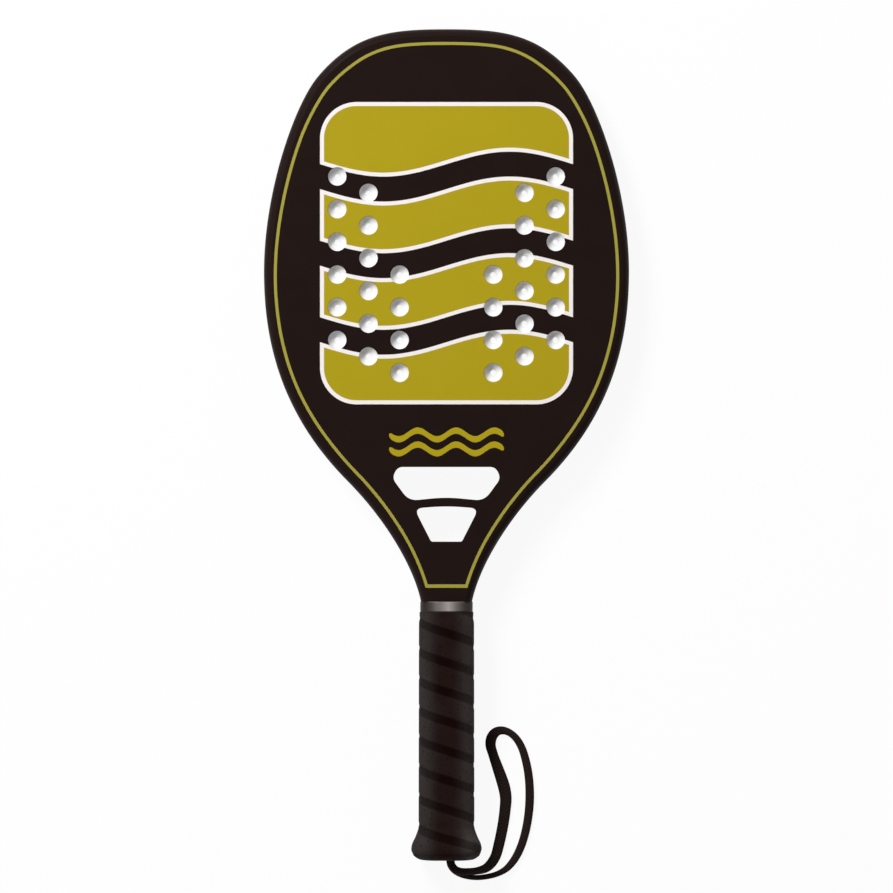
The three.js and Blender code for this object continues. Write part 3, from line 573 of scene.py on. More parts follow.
def outlineStations():
    # points of four cubic curves, the directions into the head, level at the neck, and the share of the way
    # from the tip to the neck; from the neck up on the right and down again on the left
    points, inwards = [], []
    for number, (shares, steps) in enumerate(zip(outlineShares, outlineSteps)):
        a, b, c, d = headPlace(shares[:, 0], shares[:, 1])
        t = np.linspace(0, 1, steps + 1)[(1 if number else 0):, None]
        points.append((1 - t)**3 * a + 3 * t * (1 - t)**2 * b + 3 * t * t * (1 - t) * c + t**3 * d)
        along = (1 - t)**2 * (b - a) + 2 * t * (1 - t) * (c - b) + t * t * (d - c)
        inwards.append(np.stack([along[:, 1], -along[:, 0]], -1))
    right, inward = np.concatenate(points), unit(np.concatenate(inwards))
    level = smoothStep(head["neckY"] + head["levelling"], head["neckY"], right[:, 1])[:, None]
    inward = unit(inward * (1 - level) + np.array([-1, 0]) * level)
    way = lengthAlong(right)
    way /= way[-1]
    both = [np.concatenate([half[::-1], half[1:] * (-1, 1)]) for half in (right, inward)]
    return both[0], both[1], np.concatenate([way[::-1], way[1:]])


outline, outlineInward, outlineWay = outlineStations()


def insetOutline(distance):
    # the outline moved in by a distance, or by one for each of its points
    return outline + outlineInward * np.asarray(distance).reshape(-1, 1)


def cutLoop(loop, lowestY):
    # the part of a loop above a level line, which then closes it
    keep = loop[:, 1] > lowestY
    first, last = np.argmax(keep), len(keep) - 1 - np.argmax(keep[::-1])
    ends = []
    for outside, inside in ((first - 1, first), (last + 1, last)):
        a, b = loop[outside], loop[inside]
        ends.append(a + (b - a) * (lowestY - a[1]) / (b[1] - a[1]))
    return np.concatenate([ends[:1], loop[first:last + 1], ends[1:]])


# Holes and windows

holes = {"radius": 0.0055, "firstShare": 0.2577, "rowShare": 0.0571, "columnShare": 0.0854, "sides": 56,
         "columns": ((3.5, 0, 6), (2.5, 0.5, 6), (1.5, 3, 4)), "mouth": 0.0004, "bulge": 0.0037,
         "depth": 0.0031, "steepness": 0.8, "bowlSteps": 15}
windowShares = {
    "upper": [(0, 0.1824, 0.74), (0.2068, 0.176, 0.68), (0.2976, 0.2155, 0.92), (0.2686, 0.2351, 0.92)],
    "lower": [(0.0842, 0.1045, 0.12), (0.1773, 0.1629, 0.57), (0, 0.1671, 0.92)],
}


def holeRings():
    # clockwise circles on both sides of the middle
    centres = []
    for column, start, count in holes["columns"]:
        x = column * holes["columnShare"] * head["width"]
        down = holes["firstShare"] + (start + np.arange(count)) * holes["rowShare"]
        y = head["tipY"] - down * headLength
        centres += [np.stack([np.full(count, side * x), y], -1) for side in (1, -1)]
    angle = -np.linspace(0, 2 * np.pi, holes["sides"], endpoint=False)
    circle = holes["radius"] * np.stack([np.cos(angle), np.sin(angle)], -1)
    return list(np.concatenate(centres)[:, None] + circle[None])


def windowRing(cornerShares, steps=14, leastStep=1e-6):
    # corners joined by straight sides, each rounded by a quadratic between two points by it; clockwise
    corners = np.array(cornerShares)
    right = headPlace(corners[:, 0], corners[:, 1])
    off = corners[:, 0] > 0
    points = np.concatenate([right, right[off][::-1] * (-1, 1)])
    rounding = np.concatenate([corners[:, 2], corners[off][::-1, 2]])
    toBefore, toAfter = np.roll(points, 1, 0) - points, np.roll(points, -1, 0) - points
    before, after = np.linalg.norm(toBefore, axis=1), np.linalg.norm(toAfter, axis=1)
    reach = rounding * np.minimum(before, after) / 2
    start = points + toBefore * (reach / before)[:, None]
    end = points + toAfter * (reach / after)[:, None]
    t = np.linspace(0, 1, steps + 1)[None, :, None]
    ring = (1 - t)**2 * start[:, None] + 2 * t * (1 - t) * points[:, None] + t * t * end[:, None]
    ring = ring.reshape(-1, 2)
    gap = np.linalg.norm(ring - np.roll(ring, 1, 0), axis=1)
    ring = ring[gap > leastStep]
    x, y = ring.T
    turn = np.sum(x * np.roll(y, -1) - np.roll(x, -1) * y)
    return ring[::-1] if turn > 0 else ring


holeLoops = holeRings()
windowLoops = {name: windowRing(shares) for name, shares in windowShares.items()}


# Flat sheets with holes

def outOfMaterial(loop):
    # direction to the right of the travel along a loop
    along = unit(np.roll(loop, -1, 0) - np.roll(loop, 1, 0))
    return np.stack([along[:, 1], -along[:, 0]], -1)


def insideLoop(points, loop):
    # a point is inside where a level ray from it crosses the loop an odd number of times
    a, b = loop[None], np.roll(loop, -1, 0)[None]
    x, y = points[:, None, 0], points[:, None, 1]
    rising = (a[..., 1] > y) != (b[..., 1] > y)
    rise = np.where(rising, b[..., 1] - a[..., 1], 1)
    crossing = a[..., 0] + (b[..., 0] - a[..., 0]) * (y - a[..., 1]) / rise
    return np.sum(rising & (x < crossing), axis=1) % 2 == 1


def ringEdges(start, count):
    # pairs of neighbours in a closed loop
    corner = np.arange(count)
    return np.stack([start + corner, start + (corner + 1) % count], -1)


def fillLoops(loops, extra, scale=1000, tolerance=1e-6):
    # triangles between an outer loop and its holes, with the extra loops drawn into them, filled at a scale
    # that the tolerance suits
    every = list(loops) + list(extra)
    starts = np.concatenate([[0], np.cumsum([len(loop) for loop in every])])
    flat = np.concatenate(every)
    edges = np.concatenate([ringEdges(start, len(loop)) for start, loop in zip(starts, every)])
    made = delaunay_2d_cdt((flat * scale).tolist(), edges.tolist(), [], 0, tolerance)
    triangles = np.array([origin[0] for origin in made[3]])[np.array(made[2])]
    middles = flat[triangles].mean(1)
    keep = insideLoop(middles, loops[0])
    for loop in loops[1:]:
        keep &= ~insideLoop(middles, loop)
    triangles = triangles[keep]
    a, b, c = flat[triangles].transpose(1, 0, 2)
    area = (b[:, 0] - a[:, 0]) * (c[:, 1] - a[:, 1]) - (c[:, 0] - a[:, 0]) * (b[:, 1] - a[:, 1])
    triangles[area < 0] = triangles[area < 0][:, ::-1]
    return triangles


def addPlate(name, loops, profiles, drawnLoops=(), flipped=False):
    # flat sheet: its top and bottom are filled loops, and round each loop a wall carries a profile (out, z)
    points, normals, walls, tops, bottoms = [], [], [], [], []
    base = 0
    for loop, profile in zip(loops, profiles):
        out = outOfMaterial(loop)
        count, rows = len(loop), len(profile)
        flat = loop[None] + out[None] * profile[:, None, None, 0]
        points.append(raised(flat, profile[:, None, 1]).reshape(-1, 3))
        slope = np.gradient(profile, axis=0)
        lean = unit(np.stack([-slope[:, 1], slope[:, 0]], -1))
        normals.append(raised(out[None] * lean[:, None, :1], lean[:, None, 1]).reshape(-1, 3))
        j = np.arange(count)
        r = np.arange(rows - 1)[:, None] * count
        after = (j + 1) % count
        corners = np.stack([r + j, r + count + j, r + count + after, r + after], -1)
        walls.append((base + corners).reshape(-1, 4))
        tops.append(base + j)
        bottoms.append(base + (rows - 1) * count + j)
        base += rows * count
    for loop in drawnLoops:
        points.append(raised(loop, profiles[0][0, 1]))
        tops.append(base + np.arange(len(loop)))
        base += len(loop)
    points = np.concatenate(points)
    topLoops = [points[index, :2] for index in tops[:len(loops)]]
    bottomLoops = [points[index, :2] for index in bottoms]
    topTriangles = np.concatenate(tops)[fillLoops(topLoops, drawnLoops)]
    bottomTriangles = np.concatenate(bottoms)[fillLoops(bottomLoops, [])][:, ::-1]
    walls = np.concatenate(walls)
    faces = topTriangles.tolist() + bottomTriangles.tolist() + walls.tolist()
    upward = np.array([(0.0, 0.0, 1.0)])
    cornerNormals = np.concatenate([np.repeat(upward, topTriangles.size, 0),
                                    -np.repeat(upward, bottomTriangles.size, 0),
                                    np.concatenate(normals)[walls.ravel()]])
    if flipped:
        points = points * (1, 1, -1) + (0, 0, 2 * head["middleZ"])
        ends = np.cumsum([len(face) for face in faces])
        order = np.concatenate([np.arange(end)[:-len(face) - 1:-1] for end, face in zip(ends, faces)])
        cornerNormals = cornerNormals[order] * (1, 1, -1)
        faces = [face[::-1] for face in faces]
    mesh = bpy.data.meshes.new(name)
    mesh.from_pydata(points.tolist(), [], faces)
    mesh.shade_smooth()
    mesh.normals_split_custom_set(cornerNormals.tolist())
    return addObject(name, mesh), points, topTriangles


def roundedMouth(high, low, radius, steps=6):
    # profile from the sheet's top, back by the radius, round a quarter circle and down to its underside
    return np.concatenate([(0, high) - radius * quarterTurn(steps)[:, ::-1], [(0, low)]])


# Faces, with the gold line drawn into them

# how far inside the outline the line lies, in millimetres, at shares of the way from the tip to the neck
lineInsets = np.array([(0, 8.8), (0.08, 8.8), (0.15, 9.7), (0.22, 8.9), (0.28, 7.7), (0.42, 7.25),
                       (0.5, 6.85), (0.65, 7.05), (0.75, 7.6), (0.85, 7.2), (0.92, 6.7),
                       (1, 5.4)]) * (1, 0.001)
line = {"width": 0.0018, "endY": -0.0848, "endShare": 1.15, "evening": 9}


def lineLoop(aside):
    # the outline moved in by the insets, evened a little, and closed by a level line over the neck
    inset = evened(np.interp(outlineWay, *lineInsets.T)[:, None], line["evening"])
    return cutLoop(insetOutline(inset + aside), line["endY"] + aside * line["endShare"])


def makeFaces():
    # a sheet with a plain outer wall and rounded mouths, twice; the back one is turned over. The triangles
    # between the two sides of the line take the line's paint
    wall = np.array([(0, faceTop), (0, coreTop)])
    mouth = roundedMouth(faceTop, coreTop, holes["mouth"])
    loops = [insetOutline(head["edge"])] + holeLoops + list(windowLoops.values())
    drawn = [lineLoop(-line["width"] / 2), lineLoop(line["width"] / 2)]
    for name, node, flipped in (("faceFront", "face_front", False), ("faceBack", "face_back", True)):
        piece, points, top = addPlate(name, loops, [wall] + [mouth] * (len(loops) - 1), drawn, flipped)
        stand(piece, "paint", printedFace, node)
        piece.data.materials.append(goldLine)
        middles = points[top].mean(1)[:, :2]
        onLine = insideLoop(middles, drawn[0]) & ~insideLoop(middles, drawn[1])
        index = np.zeros(len(piece.data.polygons), np.int32)
        index[:len(top)] = onLine
        piece.data.polygons.foreach_set("material_index", index)


makeFaces()
print("faces made")


# Foam core and window liners

def makeCore():
    # the drilled walls swell into the holes as a bowl under each face: depth times a power of the sine of a
    # quarter turn of the way out, and a plain waist between the two bowls
    way = 1 - np.linspace(1, 0, holes["bowlSteps"])**2
    sunk = holes["depth"] * np.sin(way * np.pi / 2) ** holes["steepness"]
    bowl = np.stack([holes["bulge"] * way, coreTop - sunk], -1)
    swelling = np.concatenate([bowl, bowl[::-1] * (1, -1) + (0, coreTop + coreLow)])
    wall = np.array([(0, coreTop), (0, coreLow)])
    outer = cutLoop(insetOutline(head["hoop"] + head["seat"]), head["coreEndY"])
    piece = addPlate("coreFoam", [outer] + holeLoops, [wall] + [swelling] * len(holeLoops))[0]
    stand(piece, "foam", foamWhite, "core_foam")


def makeLiners():
    # thin strip carried round each window between the two faces
    wall = head["liner"]
    profile = np.array([(0, coreTop), (0, coreLow), (-wall, coreLow), (-wall, coreTop)])
    for name, loop in windowLoops.items():
        flat = loop[:, None] + outOfMaterial(loop)[:, None] * profile[None, :, :1]
        piece = addGrid("windowLiner" + name.capitalize(), raised(flat, profile[:, 1]), True, True)
        stand(piece, "laminate", bareLaminate, "window_liner_" + name)


makeCore()
makeLiners()
print("core and window liners made")


# Hoop: a rounded section carried down one leg, round the head and down the other leg

legs = {"outerHalf": 0.0108, "innerHalf": 0.00367, "half": 0.0086, "edgeShare": 0.64, "endY": -0.2357}


def halfSection(width, half, edge, rise, rebate, shelf, steps=15):
    # quarter ellipse from the side to the face, then a step down and the way in, and the same below
    inner = [(edge + shelf, half - rebate), (width, half - rebate)]
    upper = np.concatenate([(0, half) + quarterTurn(steps) * (edge, -rise), inner])
    return np.concatenate([upper, upper[::-1] * (1, -1)])


def sectionRings(points, inward, section):
    # a section (way in, height) set up at each point along its direction in
    flat = points[:, None] + inward[:, None] * section[None, :, :1]
    return raised(flat, section[:, 1] + head["middleZ"])


def makeHoop():
    # rings of the leg's section at both ends of each leg, and between them the head's round the outline
    headSection = halfSection(head["hoop"], head["half"], head["edge"], head["rise"], head["face"], 0)
    legWidth = legs["outerHalf"] - legs["innerHalf"]
    legEdge = legs["edgeShare"] * legWidth
    legSection = halfSection(legWidth, legs["half"], legEdge, legEdge, 0, (legWidth - legEdge) / 2)
    ends = np.array([(1, legs["endY"]), (1, head["neckY"]), (-1, head["neckY"]), (-1, legs["endY"])])
    legRings = sectionRings(ends * (legs["outerHalf"], 1), ends * (-1, 0), legSection)
    headRings = sectionRings(outline, outlineInward, headSection)
    grid = np.concatenate([legRings[:2], headRings, legRings[2:]])
    stand(addGrid("frameHoop", grid, False, True), "paint", blackPaint, "frame_hoop")


makeHoop()
print("hoop made")


# Handle surface: a rounded octagon whose size follows the flare

# width and thickness are those of the plain grip and of its flare
grip = {"width": (0.0336, 0.0426), "thickness": (0.0292, 0.0368), "flare": 0.0195, "flareEvening": 0.0014,
        "buttY": -0.25, "bevelShare": 0.43, "endY": -0.24665, "topY": -0.10055, "tape": 0.0018,
        "underlayOuter": 0.0021, "underlayInner": 0.0033, "rounding": 0.0055, "sides": 176}
flareShares = np.array([(0, -0.4), (0.06, 0.1), (0.12, 0.56), (0.19, 0.82), (0.26, 0.96), (0.37, 1),
                        (0.51, 0.88), (0.59, 0.73), (0.68, 0.5), (0.78, 0.33), (0.88, 0.17), (1, 0)])
bevelShortening = 2 - math.sqrt(2)


def swell(y, samples=9):
    # extra size of the flare as a share, on lines between the chosen places, averaged over a short way
    near = np.linspace(-1, 1, samples) * grip["flareEvening"]
    share = (np.asarray(y)[..., None] + near - grip["buttY"]) / grip["flare"]
    return np.interp(share, *flareShares.T).mean(-1)


def octagonCorners(halfWidth, halfThickness, bevel):
    # eight corners of an octagon, from the lower right one upwards and round
    flatX, flatZ = halfWidth - bevel, halfThickness - bevel
    x = [halfWidth, halfWidth, flatX, -flatX, -halfWidth, -halfWidth, -flatX, flatX]
    z = [-flatZ, flatZ, halfThickness, halfThickness, flatZ, -flatZ, -halfThickness, -halfThickness]
    return np.stack([np.stack(x, -1), np.stack(z, -1)], -1)


def handleCorners(y, inset):
    # octagon whose half sizes go from plain to flared, moved in by the inset on every side
    size = swell(y)
    halfWidth, halfThickness = ((plain + size * (flared - plain)) / 2
                                for plain, flared in (grip["width"], grip["thickness"]))
    bevel = grip["bevelShare"] * halfThickness - inset * bevelShortening
    return octagonCorners(halfWidth - inset, halfThickness - inset, bevel)


plainCorners = handleCorners(np.array(head["neckY"]), np.array(0.0))
cornerShares = lengthAlong(np.concatenate([plainCorners, plainCorners[:1]]))
aroundLength = cornerShares[-1]
cornerShares /= aroundLength
# share of the way round at the middle of the front
frontShare = (cornerShares[2] + cornerShares[3]) / 2


def cornerWeights(share, rounding, samples=13):
    # how much each corner counts at a share of the way round, averaged over the rounding length
    near = np.linspace(-1, 1, samples)
    weight = 1 - near**2
    at = (share[:, None] + near * rounding / aroundLength) % 1
    side = np.clip(np.searchsorted(cornerShares, at, side="right") - 1, 0, 7)
    t = (at - cornerShares[side]) / (cornerShares[side + 1] - cornerShares[side])
    eye = np.eye(8)
    each = eye[side] * (1 - t)[..., None] + eye[(side + 1) % 8] * t[..., None]
    return (each * weight[None, :, None]).sum(1) / weight.sum()


def onHandle(weights, corners, y):
    # points from corner weights and corners, at heights y
    x, z = np.moveaxis(np.einsum("...k,...kc->...c", weights, corners), -1, 0)
    return np.stack([x, np.broadcast_to(y, x.shape), head["middleZ"] + z], -1)


ringShares = np.linspace(0, 1, grip["sides"], endpoint=False)
ringWeights = cornerWeights(ringShares, grip["rounding"])


def handleRings(y, inset):
    # one ring round the handle for each height and inset
    y, inset = np.asarray(y, float)[:, None], np.asarray(inset, float)[:, None]
    return onHandle(ringWeights[None], handleCorners(y, inset), y)


# Wound tape: one strip that climbs round the handle, with a pressed band along its middle and another
# where it laps the turn above; the sleeve under it and the strip over its end

winding = {"lead": 0.03533, "band": 0.004, "slope": 0.0014, "depth": 0.0003, "hairline": 0.00005,
           "seamY": -0.2191, "slim": 0.0004, "perTurn": 150, "across": 96, "innerAcross": 12,
           "taper": 0.00022, "taperY": -0.2305, "neckTaper": 0.0004, "neckLength": 0.008}
sleeves = {"rows": 60, "stripLowY": -0.0997, "stripTopY": -0.0945, "stripOuter": 0.0027}


def tapeTaper(y):
    # how much slimmer the handle gets towards the collar: a steady share, and more over the last stretch
    steady = np.clip((y - winding["taperY"]) / (grip["topY"] - winding["taperY"]), 0, 1)
    last = smoothStep(grip["topY"] - winding["neckLength"], grip["topY"], y)
    return winding["taper"] * steady + winding["neckTaper"] * last


def makeTapeStrip():
    # a turn runs from the upper edge of its lower band to the upper edge of the next, cut off level at both
    # ends of the grip; depth = band depth where the distance to the nearest band's middle is small
    low, high, lead = grip["endY"], grip["topY"], winding["lead"]
    half = winding["band"] / 2
    firstTurn = frontShare + (low + winding["slim"] - half - lead - winding["seamY"]) / lead
    lastTurn = frontShare + (high - winding["slim"] - half - winding["seamY"]) / lead
    steps = int((lastTurn - firstTurn) * winding["perTurn"])
    turn = np.linspace(firstTurn, lastTurn, steps)[:, None]
    lineY = winding["seamY"] + lead * (turn - frontShare)
    lower = np.maximum(lineY + half, low)
    upper = np.minimum(lineY + lead + half - winding["hairline"], high)
    y = lower + (upper - lower) * np.linspace(0, 1, winding["across"])[None]
    fromBand = np.abs((y - lineY + lead / 4) % (lead / 2) - lead / 4)
    sunk = 1 - smoothStep(half, half + winding["slope"], fromBand)
    innerY = lower + (upper - lower) * np.linspace(1, 0, winding["innerAcross"])[None]
    allY = np.concatenate([y, innerY], 1)
    depth = winding["depth"] * sunk + tapeTaper(y)
    allDepth = np.concatenate([depth, np.full(innerY.shape, grip["tape"])], 1)
    groove = np.concatenate([sunk, np.zeros(innerY.shape)], 1)
    weights = cornerWeights(turn[:, 0] % 1, grip["rounding"])[:, None]
    grid = onHandle(weights, handleCorners(allY, allDepth), allY)
    along = np.broadcast_to(turn * aroundLength, allY.shape)
    uv = np.stack([along, allY - lineY], -1) / perforation["pitch"]
    uv = np.concatenate([uv, uv[:, :1]], 1)
    piece = addGrid("gripTape", grid, False, True, uv, sharpAngle=50)
    # the groove attribute marks the pressed bands, where the painted shade of the band tones goes
    attribute = piece.data.attributes.new("groove", "FLOAT", "POINT")
    attribute.data.foreach_set("value", groove.astype(np.float32).ravel())
    stand(piece, "tape", tapeFinish, "grip_tape")


def makeSleeves():
    # soft sleeve under the tape, and the short strip that ties down its end
    climb = np.linspace(grip["endY"], grip["topY"], sleeves["rows"])
    inset = np.repeat([grip["underlayOuter"], grip["underlayInner"]], len(climb))
    sleeve = handleRings(np.concatenate([climb, climb[::-1]]), inset)
    stand(addGrid("gripUnderlay", sleeve, True, True), "underlay", underlayFoam, "grip_underlay")
    low, high = sleeves["stripLowY"], sleeves["stripTopY"]
    outer, inner = sleeves["stripOuter"], grip["underlayInner"]
    strip = handleRings([low, high, high, low], [outer, outer, inner, inner])
    stand(addGrid("gripEndTape", strip, True, True), "underlay", underlayFoam, "grip_end_tape")


makeTapeStrip()
makeSleeves()
print("grip made")


# Collar

collar = {"topY": -0.09425, "endY": -0.1005, "halfWidth": 0.0158, "topHalf": 0.0133, "endHalf": 0.0141,
          "bevelShare": 0.52, "boreInset": 0.0024, "edge": 0.00012, "rounding": 0.008, "rows": 25}
# painted highlight and shade: greys from the collar's bright middle to its dark sides, each with how far
# aside it stands, and a painted highlight on its top edge and painted shade on its lower edge
collarToneAndShade = {"shadedGreys": ((0.0, (0.362, 0.334, 0.318)), (0.0048, (0.180, 0.162, 0.152)),
                        (0.0096, (0.068, 0.053, 0.046)), (0.0138, (0.014, 0.008, 0.007))),
              "highlightX": 0.0010, "soft": 0.00008, "topHighlightGrey": (0.27, 0.255, 0.245), "edge": 0.00013,
              "lowShadeGrey": (0.034, 0.028, 0.026), "lowShadeEdge": 0.0007, "stretch": (60, 9000, 60),
              "lineGrey": (0.05, 0.045, 0.042), "lineShare": 0.3, "smooth": 0.4, "rough": 0.52,
              "metallic": 0.12, "depth": 0.00003, "strength": 0.5}


def makeCollarMetal():
    # satin ring: fine lines round it, a grey that darkens from a painted highlight in the middle to painted
    # shade at the sides, a painted highlight on the top edge and painted shade on the lower one
    material, shader = startMaterial("collarSatin", specular=0.12)
    place = coordinates(material)
    x, y = axes(place)[:2]
    tree = material.node_tree
    stretched = addNode(tree, "ShaderNodeMapping", {"Vector": place, "Scale": collarToneAndShade["stretch"]})
    lines = noise(stretched.outputs[0], 1.0, 4, 0.7)
    # painted highlight, a little right of the middle, darkening to painted shade at the sides
    aside = maths("ABSOLUTE", maths("SUBTRACT", x, collarToneAndShade["highlightX"]))
    (start, colour), *others = collarToneAndShade["shadedGreys"]
    for end, grey in others:
        share = addNode(tree, "ShaderNodeMapRange", {"Value": aside, "From Min": start, "From Max": end})
        colour = blend(share.outputs["Result"], colour, grey)
        start = end
    lineShare = fade(lines, 0.35, 0.75, 0.0, collarToneAndShade["lineShare"])
    colour = blend(lineShare, colour, collarToneAndShade["lineGrey"])
    # painted highlight along the rolled top edge
    soft, top = collarToneAndShade["soft"], collar["topY"] - collarToneAndShade["edge"]
    colour = blend(fade(y, top - soft, top + soft), colour, collarToneAndShade["topHighlightGrey"])
    # painted shade along the lower edge, where the collar meets the tape
    low = collar["endY"] + collarToneAndShade["lowShadeEdge"]
    colour = blend(fade(y, low + soft, low - soft), colour, collarToneAndShade["lowShadeGrey"])
    roughness = spread(lines, collarToneAndShade["smooth"], collarToneAndShade["rough"])
    feed(shader, Base_Color=colour, Roughness=roughness)
    shader.inputs["Metallic"].default_value = collarToneAndShade["metallic"]
    bump(shader, lines, collarToneAndShade["depth"], collarToneAndShade["strength"])
    return material


def makeCollar():
    # outside rows with rolled edges, then the plain bore
    t = np.linspace(0, 1, collar["rows"])
    y = collar["endY"] + (collar["topY"] - collar["endY"]) * t
    edge = np.minimum(np.minimum(y - collar["endY"], collar["topY"] - y), collar["edge"])
    rolled = collar["edge"] - np.sqrt(np.maximum(collar["edge"]**2 - (collar["edge"] - edge)**2, 0))
    half = collar["endHalf"] + (collar["topHalf"] - collar["endHalf"]) * t - rolled
    outside = octagonCorners(collar["halfWidth"] - rolled, half, collar["bevelShare"] * half)
    outsideWeights = cornerWeights(ringShares, collar["rounding"])
    outGrid = onHandle(outsideWeights[None], outside[:, None], y[:, None])
    bore = handleCorners(np.array([head["neckY"]] * 2), np.array([collar["boreInset"]] * 2))
    boreY = np.array([[collar["topY"]], [collar["endY"]]])
    boreGrid = onHandle(ringWeights[None], bore[:, None], boreY)
    piece = addGrid("gripCollar", np.concatenate([outGrid, boreGrid]), True, True)
    stand(piece, "collar", makeCollarMetal(), "grip_collar")


makeCollar()
print("collar made")


# Butt cap and eyelet

cap = {"skirtY": (-0.2467, -0.24, -0.23, -0.216), "ledgeY": -0.236, "wallY": -0.247, "rimRows": 14,
       "skirtInset": 0.0036, "insideInset": 0.0046, "ledgeInset": 0.0066, "rimRise": 0.0006, "edge": 0.0012,
       "dome": ((0.009, 0), (0.006, 0), (0.004, 0.0001), (0.0022, 0.0003)), "holeX": 0.0024,
       "halfSpacing": 0.00255, "slotSteepness": 4}
eyelet = {"bore": 0.0028, "tube": 0.0038, "flange": 0.005, "flangeDepth": 0.0008, "gap": 0.0003,
          "lip": 0.0005, "lipSteps": 7}
ringAngles = np.arctan2(*(ringWeights @ plainCorners).T[::-1])


def slotRing(radius, y):
    # stadium round the two strands: a circle whose upper and lower halves are moved apart
    apart = cap["halfSpacing"] * np.clip(cap["slotSteepness"] * np.sin(ringAngles), -1, 1)
    radius = np.asarray(radius)[..., None]
    x = cap["holeX"] + radius * np.cos(ringAngles)
    z = head["middleZ"] + apart + radius * np.sin(ringAngles)
    return np.stack([x, np.broadcast_to(np.asarray(y)[..., None], x.shape), z], -1)


def makeCap():
    # from the hole's inner end out over the butt, round the rim, up the skirt and back down inside it
    butt = grip["buttY"]
    wide, narrow = eyelet["flange"] + eyelet["gap"], eyelet["tube"] + eyelet["gap"]
    seat = butt + eyelet["flangeDepth"]
    hole = slotRing([narrow, narrow, wide, wide], [cap["wallY"], seat, seat, butt])
    domeInsets, domeRises = np.array(cap["dome"]).T
    flat = handleRings(butt + domeRises, domeInsets)
    rimY = np.linspace(butt + cap["rimRise"], cap["skirtY"][0], cap["rimRows"])
    rim = handleRings(rimY, smoothStep(butt + cap["edge"], butt, rimY) * cap["edge"])
    inside = [cap["skirtY"][-1], cap["ledgeY"], cap["ledgeY"], cap["wallY"]]
    skirtY = np.array([*cap["skirtY"], *inside])[:, None]
    # the skirt follows the flare outside and the plain grip inside
    sizeY = np.array([*cap["skirtY"]] + [head["neckY"]] * len(inside))[:, None]
    insets = [cap["skirtInset"]] * 4 + [cap["insideInset"]] * 2 + [cap["ledgeInset"]] * 2
    inset = np.array(insets)[:, None]
    skirt = onHandle(ringWeights[None], handleCorners(sizeY, inset), skirtY)
    piece = addGrid("buttCap", np.concatenate([hole, flat, rim, skirt]), True, True)
    stand(piece, "plastic", capPlastic, "butt_cap")


def makeEyelet():
    # rolled lip carried round the slot
    butt, flange, tube = grip["buttY"], eyelet["flange"], eyelet["tube"]
    curl = eyelet["lip"] * quarterTurn(eyelet["lipSteps"])
    inner, outer = (eyelet["bore"], butt) + curl, (flange, butt) + curl[:, ::-1] * (-1, 1)
    seat = butt + eyelet["flangeDepth"]
    behind = [(flange, seat), (tube, seat), (tube, cap["wallY"])]
    profile = np.concatenate([[(eyelet["bore"], cap["wallY"])], inner, outer, behind])
    piece = addGrid("strapEyelet", slotRing(profile[:, 0], profile[:, 1]), True, True)
    stand(piece, "steel", plainSteel, "strap_eyelet")


makeCap()
makeEyelet()
print("butt made")


# Nodes that stay as they are, with finishes of their own

plainNodes = {"throat_bridge": bareLaminate, "throat_foam_upper": foamWhite, "throat_foam_lower": foamWhite,
              "handle_core": shellPlastic, "handle_pallet_front": shellPlastic,
              "handle_pallet_back": shellPlastic, "butt_cap_tack_front": plainSteel,
              "butt_cap_tack_back": plainSteel, "strap_knot": strapWeave}
for nodeName, material in plainNodes.items():
    coat(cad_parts[nodeName], material)


# Floor, lamps and world

floor = {"halfSize": 4, "slope": 0.01516, "levelY": -0.243, "colour": 0.95, "whiteShare": 0.93}
lamps = {"keyLamp": ((-1.07, 1.37, 1.74), 0.8, 64), "rightLamp": ((1.6, 1.5, 1.05), 1.0, 6),
         "lowLamp": ((-1.2, -1.0, 1.0), 1.0, 3.5)}
sky = {"plain": 0.125, "horizon": 1.0, "zenith": 0.3}


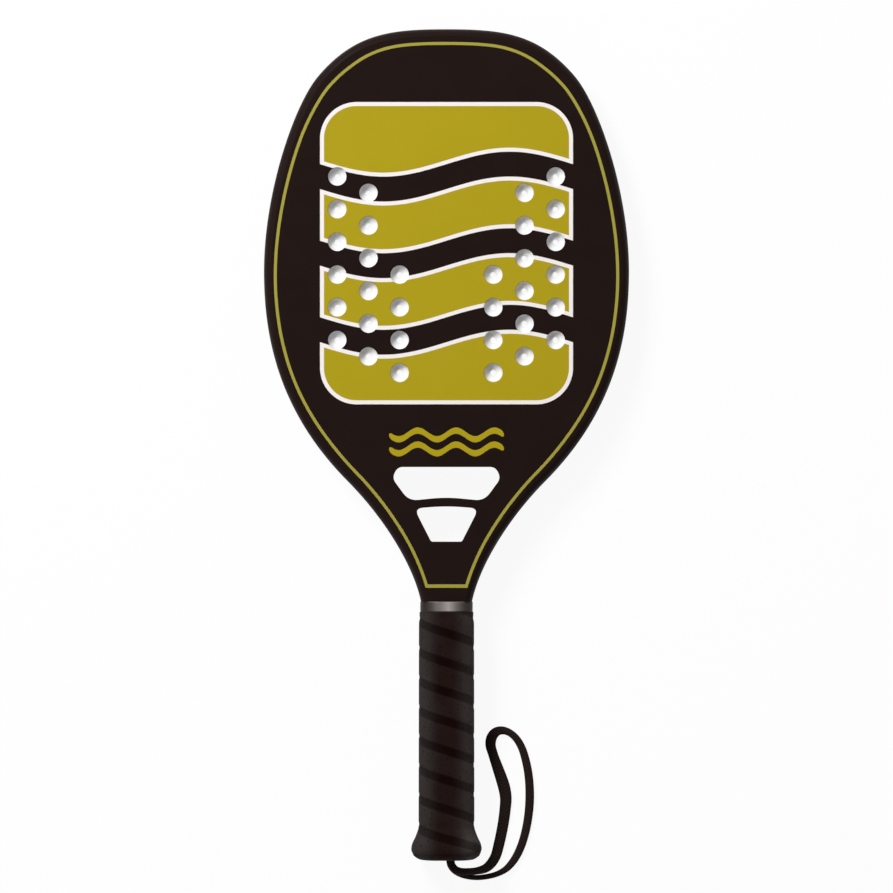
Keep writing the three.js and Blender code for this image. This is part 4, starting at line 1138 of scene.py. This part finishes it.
def seenDirectly(owner):
    # 1 for rays from the camera and for those seen in gloss or through glass
    rays = addNode(owner.node_tree, "ShaderNodeLightPath")
    mirrored = maths("MAXIMUM", rays.outputs["Is Glossy Ray"], rays.outputs["Is Transmission Ray"])
    return maths("MAXIMUM", rays.outputs["Is Camera Ray"], mirrored)


def makeFloor():
    # plane through the butt's lowest line and the tip of the head, which the racket rests on
    reach = floor["halfSize"]
    corners = np.array([(-reach, -reach), (reach, -reach), (reach, reach), (-reach, reach)], float)
    high = floor["slope"] * (corners[:, 1] - floor["levelY"])
    mesh = bpy.data.meshes.new("floor")
    mesh.from_pydata(raised(corners, high).tolist(), [], [(0, 1, 2, 3)])
    material, shader = startMaterial("paleFloor", roughness=1, specular=0)
    shader.inputs["Base Color"].default_value = (floor["colour"], floor["colour"], floor["colour"], 1)
    tree = material.node_tree
    white = addNode(tree, "ShaderNodeEmission", {"Color": (1, 1, 1, 1), "Strength": 1.0})
    share = maths("MULTIPLY", seenDirectly(material), floor["whiteShare"])
    mix = addNode(tree, "ShaderNodeMixShader", {0: share, 1: shader.outputs[0], 2: white.outputs[0]})
    tree.links.new(mix.outputs[0], tree.nodes["Material Output"].inputs["Surface"])
    mesh.materials.append(material)
    addObject("floor", mesh)


def addLamp(name, place, size, power):
    # square lamp turned towards the middle of the racket
    data = bpy.data.lights.new(name, "AREA")
    data.size = size
    data.energy = power
    lamp = addObject(name, data)
    lamp.location = place
    lamp.rotation_euler = (-lamp.location).to_track_quat("-Z", "Y").to_euler()


def makeWorld():
    # even dim light; seen directly or in gloss it goes from white at the horizon to grey overhead
    world = bpy.data.worlds.new("studio")
    world.use_nodes = True
    background = world.node_tree.nodes["Background"]
    background.inputs["Color"].default_value = (1, 1, 1, 1)
    height = axes(coordinates(world, "Generated"))[2]
    seen = fade(height, 0, 1, sky["horizon"], sky["zenith"])
    share = seenDirectly(world)
    plain = maths("MULTIPLY", maths("SUBTRACT", 1.0, share), sky["plain"])
    strength = maths("MULTIPLY_ADD", seen, share, plain)
    feed(background, Strength=strength)
    bpy.context.scene.world = world


makeFloor()
makeWorld()
for lampName, (place, size, power) in lamps.items():
    addLamp(lampName, place, size, power)
bpy.context.scene.view_settings.view_transform = "Standard"
print("stage made")

bpy.context.view_layer.update()
